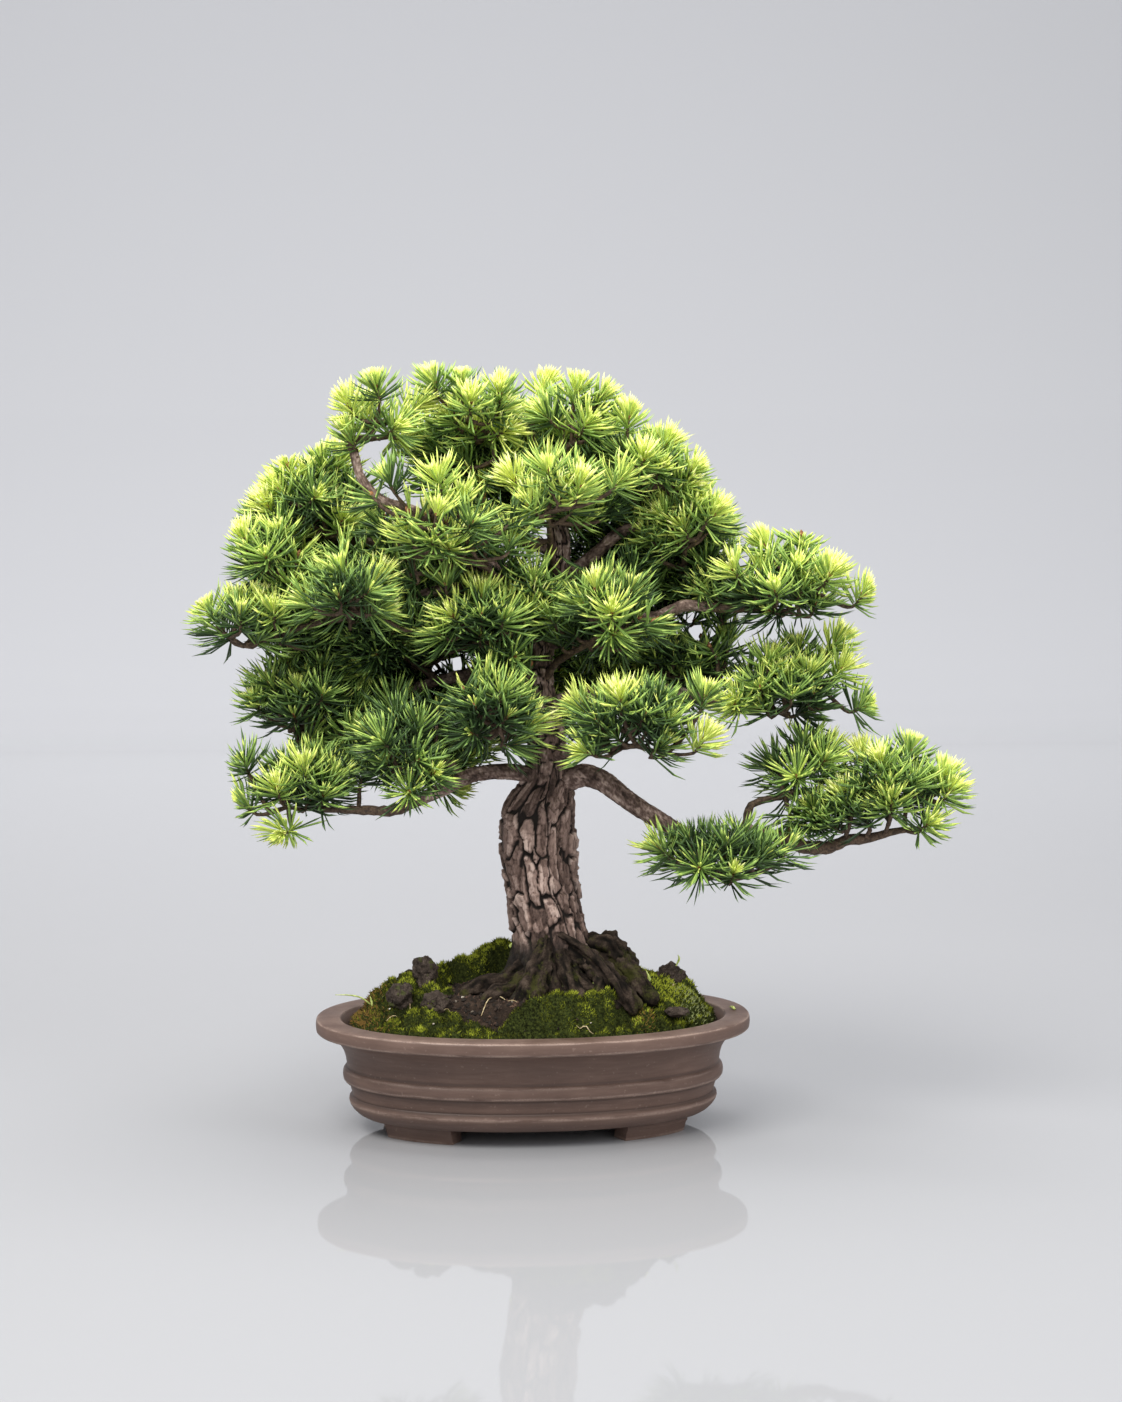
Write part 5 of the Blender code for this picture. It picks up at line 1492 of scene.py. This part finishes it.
# %% Moss height
CUSHIONS = (  # across, back, half length, half width and height over the soil, in the pot's frame
    (-20, 37, 31, 21, 21), (-56, 31, 26, 20, 12), (-78, 20, 22, 22, 10), (-99, 14, 25, 30, 13), (-114, -8, 14, 26, 6),
    (86, -8, 32, 24, 9), (104, -16, 20, 22, 10), (92, -36, 13, 11, 8), (76, -46, 12, 9, 5), (105, 12, 21, 22, 17),
    (12, -50, 15, 15, 4), (44, -54, 15, 12, 3), (-8, -60, 20, 10, 2), (-46, -54, 17, 12, 4), (-80, -42, 17, 14, 5),
    (60, 40, 34, 20, 9), (14, 50, 34, 15, 8),
)
MOSS_PATCHES = {  # the node that a bank stands for: from and to in degrees, from and to on the way to the rim
    "moss_front": (206, 322, 0.66, 0.992), "moss_left": (140, 211, 0.48, 0.99),
    "moss_right": (317, 400, 0.52, 0.985), "moss_mound": (36, 144, 0.36, 0.985),
}


def moss_domes(x, y):
    """Small cushions: 0 in the gaps between them and 1 on top, and each one's own value."""
    wander = 4.0 * roughness(on_sheet(x, y), 10.0, 44, 2)
    crack, value, *_ = cells((x + wander) / 13.0 + 90, (1.5 * y - wander) / 13.0 + 90, 400, 45)
    return np.sqrt(np.clip(1.5 * crack, 0, 1)), value


def moss_height(x, y):
    """How high the moss stands over the soil, where it grows."""
    swell = np.zeros(len(x))
    for across, back, length, width, high in CUSHIONS:
        inside = np.clip(1 - ((x - across) / length) ** 2 - ((y - back) / width) ** 2, 0, 1)
        swell = np.maximum(swell, high * inside**0.62)
    swell *= blend(0.0, 0.14, 1.0 - way_to_rim(x, y))
    dome, value = moss_domes(x, y)
    return 0.6 + swell + dome * (2.6 + 4.2 * value) + 1.3 * roughness(on_sheet(x, y), 3.6, 46, 2)


def moss_edge(x, y, degrees, share, patch):
    """1 on the bank, falling to 0 at its ragged border."""
    low, high, inner, outer = patch
    if patch == MOSS_PATCHES["moss_front"]:  # bare soil shows behind its left part
        inner = inner + 0.17 * np.exp(-(((degrees - 251) / 15) ** 2))
    across = np.radians(np.minimum(degrees - low, high - degrees)) * 90
    along = np.minimum((share - inner) * 80, (outer - share) * 300)
    ragged = 4.0 * roughness(on_sheet(x, y), 12.0, 47, 3)
    return blend(0.0, 6.0, np.minimum(across, along) + ragged + 1.0)


print("moss over the soil at the mound, mm:", moss_height(np.array([-26.0]), np.array([37.0])).round(1))

# %% [markdown]
# Moss is never one green. Its hollows are painted almost black as shade, the mound on the right is a bright yellow
# green, partly its own colour and partly painted light, and the left edge has dried to a reddish brown. Each small
# leaf is dealt one of seven plain shades by where it grows, lighter on the tops of domes and where it faces up as
# painted light.

# %% Moss
# From the near black of painted shade in the hollows to the bright green of painted light on the tops.
MOSS_SHADES = {
    "moss_black": (0.012, 0.015, 0.003), "moss_deep": (0.034, 0.038, 0.005), "moss_green": (0.082, 0.094, 0.008),
    "moss_leaf": (0.155, 0.175, 0.014), "moss_bright": (0.310, 0.345, 0.034), "moss_rust": (0.190, 0.110, 0.030),
    "moss_grey": (0.300, 0.330, 0.140),
}
MOSS_DENSITY = 1.25  # leaves for each square millimetre
# Places painted lighter: partly a yellower moss, partly painted light on the mounds.
BRIGHT_PLACES = (  # amount, across, back, half length and half width
    (0.50, 90, -18, 22, 24), (0.26, -34, 34, 50, 22), (0.30, 14, -52, 24, 16), (0.12, -60, -50, 30, 14),
)
TONE_STEPS = (0.20, 0.38, 0.55, 0.76)  # where one shade of green gives way to the next
RUST, GREY = 6, 7  # places of those shades in the list of materials
LEAF_WIDTH = 0.42


def moss_tone(x, y):
    """0 in a dark hollow, 1 on a bright mound: partly the moss's own tone, partly painted light and shade."""
    bright = 0.0
    for amount, across, back, length, width in BRIGHT_PLACES:
        bright = bright + amount * np.exp(-((x - across) / length) ** 2 - ((y - back) / width) ** 2)
    dome, value = moss_domes(x, y)
    sheet = on_sheet(x, y)
    patches = 0.34 * roughness(sheet, 17.0, 48, 2) + 0.18 * roughness(sheet, 4.0, 49, 2)
    # The tops of the small domes lighter and the gaps between them darker: painted light and shade.
    return bright + patches + 0.70 * (dome - 0.25) + 0.45 * (value - 0.5)


UNDER_STOPS = (0.36, (0.010, 0.012, 0.004)), (0.54, (0.035, 0.045, 0.010)), (0.72, (0.085, 0.095, 0.020))
moss_materials = [grain_finish("moss_under", (1.6, 4.0, 0.7), UNDER_STOPS, (0.9, 1.0), Roughness=0.95,
                               Specular_IOR_Level=0.1)]
moss_materials += [Finish(name, Base_Color=colour, Roughness=0.9, Specular_IOR_Level=0.12).material
                   for name, colour in MOSS_SHADES.items()]


def moss_surface(degrees, share, patch):
    x, y = oval_place(np.radians(degrees), share)
    edge = moss_edge(x, y, degrees, share, patch)
    return np.column_stack((x, y, soil_height(x, y) + edge * moss_height(x, y) - 3.0 * (1 - edge))), edge


def moss_leaves(patch):
    """Short tapering leaves all over a bank, and each one's shade."""
    low, high, inner, outer = patch
    count = int(math.radians(high - low) * (outer**2 - inner**2) / 2 * SOIL_REACH * half_width(SOIL_REACH)
                * MOSS_DENSITY * 1.25)
    degrees = rng.uniform(low, high, count)
    share = np.sqrt(rng.uniform(inner**2, outer**2, count))
    foot, edge = moss_surface(degrees, share, patch)
    right = moss_surface(degrees + 0.4, share, patch)[0] - foot
    out = moss_surface(degrees, share + 0.004, patch)[0] - foot
    normal = unit(np.cross(out, right))
    kept = edge > 0.35
    foot, normal, x, y = foot[kept], normal[kept], foot[kept, 0], foot[kept, 1]
    # Leaves that face up are lighter: painted light.
    tone = moss_tone(x, y) + rng.normal(0, 0.13, len(x)) + 0.35 * (normal[:, 2] - 0.75)
    shade = np.digitize(tone, TONE_STEPS) + 1
    dry = np.exp(-((x + 121) / 14) ** 2) + 0.6 * np.exp(-((x - 72) / 6) ** 2 - ((y + 50) / 8) ** 2)
    shade = np.where(rng.uniform(size=len(x)) < 0.75 * dry, RUST, shade)
    pale = np.exp(-((x - 108) / 11) ** 2 - ((y + 20) / 14) ** 2)
    shade = np.where(rng.uniform(size=len(x)) < 0.6 * pale, GREY, shade)
    way = unit(normal + np.array([0, 0, 0.45]) + rng.normal(0, 0.42, foot.shape))
    side = unit(np.cross(way, rng.normal(size=foot.shape)))
    tall = rng.uniform(1.2, 2.7, (len(x), 1))
    corners = [foot + across * LEAF_WIDTH - way * 0.4 for across in (-side, side, np.cross(way, side))]
    points = np.stack((*corners, foot + way * tall), axis=1).reshape(-1, 3)
    return points, copied_faces(((0, 1, 3), (1, 2, 3), (2, 0, 3)), len(x)), np.repeat(shade, 3)


for name, patch in MOSS_PATCHES.items():
    columns, rows = round((patch[1] - patch[0]) / 0.85), round((patch[3] - patch[2]) * 62)
    degrees, share = np.meshgrid(np.linspace(*patch[:2], columns), np.linspace(*patch[2:], rows), indexing="ij")
    skin, edge = moss_surface(degrees.ravel(), share.ravel(), patch)
    quads = grid_faces(columns, rows, closed=False)
    halves = np.vstack((quads[:, (0, 2, 1)], quads[:, (0, 3, 2)]))[:, ::-1]
    points, faces, shade = moss_leaves(patch)
    piece = mesh_piece(name.replace("moss", "moss_bank"), np.vstack((skin, points)),
                       np.vstack((halves, faces + len(skin))), moss_materials,
                       np.concatenate((np.zeros(len(halves), int), shade)), turned=False)
    carry(piece, "moss", name)

# %% [markdown]
# The stones are lumps of dark, porous rock. Each starts as a fine ball at its size and place, and its points are
# moved in and out by noise of two sizes, with flat broken faces, as the real ones have.

# %% Stones
STONES = {  # centre, half sizes, turn in degrees, how broken its outline is
    "stone_knob": ((-75, -2, 106), (10.5, 9.5, 14.5), 20, 0.34),
    "stone_fan": ((-91, -24, 95), (10.5, 7.5, 11.5), -25, 0.26),
    "stone_grainy": ((-66, -42, 93), (10.5, 7.5, 10.5), 10, 0.24),
    "stone_mossy": ((-88, 25, 93), (9.5, 8.5, 10), 5, 0.26),
    "stone_wedge": ((95, 10, 101), (11.5, 8.5, 10.5), 15, 0.22),
    "stone_flat": ((98, -38, 87), (9.5, 5.5, 3.6), -12, 0.20),
}


def stone_finish():
    finish = Finish("stone")
    place = finish.coordinates()
    lumps = finish.noise(place, 5.0, 5.0, 0.65)
    grain = finish.noise(place, 0.9, 4.0, 0.7)
    colour = finish.ramp(lumps * 0.5 + grain * 0.5, (0.36, (0.012, 0.008, 0.006)), (0.50, (0.050, 0.036, 0.028)),
                         (0.60, (0.105, 0.078, 0.062)), (0.74, (0.260, 0.205, 0.165)))
    mossy = finish.between(finish.noise(place, 8.0, 3.0), 0.58, 0.66, 0.0, 0.7)
    colour = finish.mix(colour, (0.070, 0.085, 0.018), mossy)
    bump = finish.height(grain, 0.8, 1.0, finish.height(lumps, 1.2, 0.6))
    return finish.done(Base_Color=colour, Roughness=0.9, Normal=bump, Specular_IOR_Level=0.3)


def model_stone(name, number):
    middle, half_sizes, turn, broken = STONES[name]
    deselect()
    bpy.ops.mesh.primitive_ico_sphere_add(subdivisions=6, radius=1.0, location=(0, 0, 0))
    stone = bpy.context.object
    stone.name = stone.data.name = name.replace("stone", "rock")
    ball = np.array([vertex.co[:] for vertex in stone.data.vertices])
    facets = np.array([(math.cos(2.4 * k) * math.sqrt(1 - h * h), math.sin(2.4 * k) * math.sqrt(1 - h * h), h)
                       for k, h in enumerate(np.linspace(-0.9, 0.95, 15))])
    flat = np.minimum(1.0, (0.86 / np.maximum(ball @ facets.T, 0.3)).min(axis=1))
    seen = ball * half_sizes
    swell = 1 + broken * roughness(seen, 9.0, 60 + number, 2) + 0.15 * roughness(seen, 3.0, 70 + number, 3)
    pits = -0.13 * blend(0.25, 0.6, roughness(seen, 2.3, 80 + number))
    points = ball * (flat * swell + pits)[:, None] * half_sizes
    points = turned_by(points, math.radians(turn)) + middle
    stone.data.vertices.foreach_set("co", to_place(points).ravel())
    stone.data.update()
    bpy.ops.object.shade_smooth()
    return stone


rock = stone_finish()
for number, name in enumerate(STONES):
    stone = model_stone(name, number)
    stone.data.materials.append(rock)
    carry(stone, "stone", *[name] * (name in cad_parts))

# %% [markdown]
# Old roots show at the trunk's foot. The biggest is a burl that leans out to the right, and others run down over the
# soil. Each is a wrapped sheet with long fibres and knuckles, and it starts inside the trunk and ends in the soil.

# %% Roots over the soil
ROOT_COURSES = (
    ((30, -6, 119, 8), (44, -8, 125, 11.5), (54, -10, 122, 11.5), (62, -13, 113, 9), (70, -16, 104, 7),
     (80, -20, 94, 5)),
    ((18, -24, 138, 2.2), (35, -34, 129, 2.6), (47, -41, 118, 2.4), (55, -45, 107, 2.2), (60, -47, 97, 1.8)),
    ((10, -18, 138, 5), (6, -28, 124, 6.5), (2, -35, 112, 8), (-2, -40, 99, 11), (-4, -43, 90, 11)),
    ((54, -12, 121, 7), (64, -19, 112, 7), (73, -25, 103, 6), (80, -30, 94, 5)),
    ((24, -18, 130, 7), (40, -29, 119, 7), (52, -36, 108, 6.5), (61, -40, 97, 6), (66, -42, 90, 5)),
    ((18, -24, 124, 6), (24, -36, 111, 5), (30, -43, 100, 5.5), (34, -46, 91, 5)),
    ((36, -26, 120, 5), (45, -37, 110, 4.5), (42, -44, 100, 4.5), (38, -48, 91, 5)),
    ((-8, -12, 112, 7), (-22, -17, 105, 5.5), (-36, -18, 101, 6.5), (-47, -22, 95, 5), (-52, -24, 90, 3)),
    ((-4, -20, 109, 6), (-16, -29, 101, 5), (-26, -33, 98, 6), (-34, -35, 93, 4)),
    ((20, 14, 112, 8), (34, 28, 102, 7), (50, 36, 93, 5)), ((-6, 16, 110, 7), (-14, 30, 100, 6), (-22, 40, 91, 4)),
    ((44, -14, 116, 6), (56, -24, 108, 5.5), (62, -32, 100, 5), (70, -36, 91, 4)),
    ((30, -14, 122, 7), (44, -26, 112, 6), (54, -31, 104, 6.5), (60, -33, 94, 5)),
    ((12, -26, 116, 4), (14, -38, 104, 4.5), (18, -45, 95, 4), (20, -49, 89, 3)),
    ((28, -30, 108, 5), (38, -38, 103, 4), (48, -43, 100, 3.5), (56, -46, 93, 3)),
    ((58, -4, 114, 6), (70, -6, 106, 6), (80, -8, 99, 5), (88, -10, 91, 4)),
)


THIN_ROOTS = 20


def tangle():
    """Courses of thin roots that twist over each other between the big ones."""
    chance, courses = random.Random(8), []
    for _ in range(THIN_ROOTS):
        angle = math.radians(chance.uniform(-112, 8))
        reach, height = chance.uniform(24, 29), chance.uniform(104, 122) - 8 * (angle < -1.3)
        end, width = chance.uniform(42, 66) * (1.0 if angle > -1.2 else 0.8), chance.uniform(1.5, 3.0)
        course = []
        for share in np.linspace(0, 1, 6):
            out, turn = reach + (end - reach) * share, angle + chance.uniform(-0.16, 0.16)
            x, y = 12 + out * math.cos(turn), out * math.sin(turn)
            ground = float(soil_height(x, y)) - 1.0
            rise = (height - ground) * (1 - share) ** 1.4 + chance.uniform(0, 3.5) * (share < 0.9) - 3 * share**4
            course.append((x, y, ground + rise, width * (1.1 - 0.5 * share)))
        courses.append(course)
    return courses


def gnarled(course, seed):
    """A knotty root round a course of points and radii."""
    course = rounded_tip(smooth_course(course, 1.0))
    sides = max(14, round(2 * math.pi * course[:, 3].mean()))
    row, angle, out = round_points(course, sides)
    radius = course[row, 3]
    place = course[row, :3] + radius[:, None] * out
    knots = 0.44 * roughness(place, 6.5, seed, 3)
    fibres = roughness(np.column_stack((radius * np.cos(angle), radius * np.sin(angle), row * 0.35)), 2.4, seed + 1, 3)
    reach = radius * (1 + knots) + np.minimum(2.6, 0.34 * radius) * fibres
    # Marks darker in the grooves between fibres and lighter on raised fibres and knots: painted shade and highlight.
    marks = np.column_stack((blend(-0.5, 0.2, fibres), 0.5 + knots, 0.5 + 0.5 * fibres))
    return course[row, :3] + reach[:, None] * out, grid_faces(len(course), sides), marks


def root_finish():
    finish = Finish("root_bark")
    crack, knot, fibre = finish.parts("marks")
    place = finish.coordinates()
    cloud = finish.noise(place, 14.0, 4.0, 0.6)
    grain = finish.noise(place, 1.4, 4.0, 0.7)
    shade = fibre * 0.45 + grain * 0.40 + knot * 0.15
    colour = finish.ramp(shade, (0.36, (0.010, 0.007, 0.005)), (0.54, (0.038, 0.026, 0.019)),
                         (0.76, (0.130, 0.095, 0.072)))
    # Near black in the grooves between fibres: painted shade.
    colour = finish.mix((0.004, 0.003, 0.002), colour, crack)
    mossy = finish.between(cloud * 0.7 + grain * 0.3, 0.52, 0.62, 0.0, 0.6)
    colour = finish.mix(colour, (0.055, 0.058, 0.010), mossy)
    bump = finish.height(grain, 0.8, 1.0)
    return finish.done(Base_Color=colour, Roughness=0.88, Normal=bump, Specular_IOR_Level=0.18)


tubes, kept = [], []
for number, course in enumerate([*ROOT_COURSES, *tangle()]):
    points, faces, marks = gnarled(course, 90 + 3 * number)
    tubes.append((points, faces))
    kept.append(marks)
points, faces = joined(tubes)
piece = mesh_piece("surface_roots", points, faces, [root_finish()], marks=np.vstack(kept))
carry(piece, "root_bark", "root_burl")

# %% [markdown]
# Loose crumbs make bare soil read as soil. Each is a small bent lump of eight faces, dealt one of three earth shades,
# and a few are pale grit. Between them lie the small things that fall from the tree: dry needles and bits of straw.

# %% Crumbs and litter
CRUMBS = 3600
CRUMB_COLOURS = {
    "crumb_dark": ((0.008, 0.006, 0.004), (0.030, 0.020, 0.014)),
    "crumb_brown": ((0.022, 0.013, 0.009), (0.075, 0.046, 0.031)),
    "crumb_red": ((0.050, 0.026, 0.017), (0.150, 0.085, 0.055)),
    "grit": ((0.16, 0.13, 0.10), (0.42, 0.36, 0.29)),
}
CRUMB_SHARES = (0.5, 0.3, 0.16, 0.04)


def crumbs():
    spoke, share = rng.uniform(0, 2 * math.pi, CRUMBS), 0.975 * np.sqrt(rng.uniform(0.02, 1, CRUMBS))
    x, y = oval_place(spoke, share)
    middle = np.column_stack((x, y, soil_height(x, y) + clod_height(x, y) * blend(1.0, 0.95, share)))
    size = rng.uniform(0.5, 1.0, CRUMBS) ** 2 * 1.9 + 0.3
    corners = np.array([(1, 0, 0), (0, 1, 0), (-1, 0, 0), (0, -1, 0), (0, 0, 1), (0, 0, -1)], float)
    points = middle[:, None] + corners * size[:, None, None] * rng.uniform(0.6, 1.3, (CRUMBS, 6, 1))
    points += rng.normal(0, 0.22, points.shape) * size[:, None, None]
    pattern = ((0, 1, 4), (1, 2, 4), (2, 3, 4), (3, 0, 4), (1, 0, 5), (2, 1, 5), (3, 2, 5), (0, 3, 5))
    which = rng.choice(len(CRUMB_COLOURS), CRUMBS, p=CRUMB_SHARES)
    return points.reshape(-1, 3), copied_faces(pattern, CRUMBS), np.repeat(which, len(pattern))


crumb_materials = [two_tone_finish(name, (0.8, 3.0, 0.7), (0.38, 0.66), colours, 0.92)
                   for name, colours in CRUMB_COLOURS.items()]
points, faces, which = crumbs()
carry(mesh_piece("soil_crumbs", points, faces, crumb_materials, which, turned=False, smooth=False), "soil")

LITTER = (  # across, back, way in degrees, length and width in the tree's frame
    (-31, -44, 60, 17, 0.6), (-22, -40, 118, 12, 0.6), (-60, -46, 20, 8, 0.5), (-14, -50, 150, 7, 0.5),
    (-96, -36, 30, 8, 0.5), (34, -64, 4, 11, 0.7), (-105, 2, 80, 7, 0.5), (-70, 30, 40, 12, 0.5),
    (60, 36, 130, 12, 0.5), (20, 52, 20, 11, 0.5), (-20, 56, 160, 9, 0.5), (96, -6, 60, 8, 0.5),
    (-84, -30, 95, 6, 0.5),
)


def ground_top(x, y):
    """The height of what lies on top at a place in the tree's frame: moss or soil."""
    x, y = (to_place([(x, y, 0)])[0] / MM - (*POT_PLACE, 0.0))[:2]
    degrees = math.degrees(math.atan2(np.sign(y) * (abs(y) / half_width(SOIL_REACH)) ** (POT_SQUARENESS / 2),
                                      np.sign(x) * (abs(x) / SOIL_REACH) ** (POT_SQUARENESS / 2)))
    share = float(way_to_rim(x, y))
    heights = [float(soil_height(x, y)) + 1.0]
    for patch in MOSS_PATCHES.values():
        turn = patch[0] + (degrees - patch[0]) % 360
        if turn < patch[1] and patch[2] < share < patch[3]:
            heights.append(moss_surface(np.array([turn]), np.array([share]), patch)[0][0, 2] + 1.2)
    return max(heights)


def litter_finish(name, *colours):
    return two_tone_finish(name, (2.0, 3.0, 0.6), (0.4, 0.6), colours, 0.6)


tubes = []
for across, back, way, length, width in LITTER:
    ahead = np.array((math.cos(math.radians(way)), math.sin(math.radians(way))))
    course = []
    for along in np.linspace(-0.5, 0.5, 6):
        x, y = np.array((across, back)) + ahead * along * length
        rise = 0.8 * (1 - (2 * along) ** 2)
        course.append((x, y, ground_top(x, y) + rise, 0.75 * width * (1 - 0.5 * abs(2 * along))))
    tubes.append(tube(rounded_tip(np.array(course), 2), 6))
points, faces = joined(tubes)
straw = litter_finish("straw", (0.330, 0.230, 0.110), (0.680, 0.560, 0.330))
carry(mesh_piece("dry_needles", points, faces, [straw]), "moss")

# %% [markdown]
# A few seedlings and fallen bits finish the ground: a pale blade that leans out over the pot's left end, small green
# ones in the moss, a leaf on the rim at the right, and pale chips. Blades and the leaf are thin tubes.

# %% Blades and chips
BLADES = (  # points and half width, in the tree's frame
    ((-110, -8, 84, 0.5), (-118, -10, 91, 0.6), (-126, -12, 93.5, 0.5), (-136, -13, 94, 0.2)),
    ((-110, -14, 82, 0.5), (-111, -15, 89, 0.9), (-112, -15, 93, 0.3)),
    ((-107, -10, 84, 0.4), (-104, -11, 91, 0.6), (-103, -11, 93, 0.2)),
    ((40, -34, 104, 0.5), (41, -36, 109, 0.8), (39, -37, 113, 0.3)),
    ((77, -20, 100, 0.6), (79, -22, 106, 1.0), (77, -23, 112, 0.3)),
    ((99, 6, 110, 0.5), (101, 5, 115, 0.8), (100, 4, 118, 0.2)),
    ((-16, -20, 128, 0.7), (-16, -21, 129.5, 0.9), (-15, -21, 131, 0.3)),
)
RIM_LEAF = ((140.5, 8, 78.5, 0.5), (139.5, 10, 79.2, 1.1), (138.5, 12, 79.6, 1.0), (137, 14, 79.2, 0.3))
CHIPS = ((88, -52), (85, -53), (-48, -34), (-98, -26), (-67, -56), (38, -62), (-31, -30), (60, 44), (-10, 58))


tubes = [tube(rounded_tip(smooth_course(course, 0.8), 2), 6) for course in (*BLADES, RIM_LEAF)]
points, faces = joined(tubes)
blade_green = litter_finish("blade_green", (0.340, 0.420, 0.090), (0.660, 0.740, 0.240))
carry(mesh_piece("seedlings", points, faces, [blade_green]), "moss")

tubes = []
for number, (across, back) in enumerate(CHIPS):
    size = 0.5 + 0.6 * float(scrambled(number))
    top = ground_top(across, back) + 0.5
    rings = [(across + along * size, back, top + 0.2 * along, radius * size)
             for along, radius in ((-1.2, 0.3), (-0.6, 0.9), (0.4, 0.8), (1.1, 0.2))]
    tubes.append(tube(np.array(rings), 7))
points, faces = joined(tubes)
chip = litter_finish("chip", (0.40, 0.34, 0.27), (0.74, 0.68, 0.58))
carry(mesh_piece("pale_chips", points, faces, [chip]), "soil")
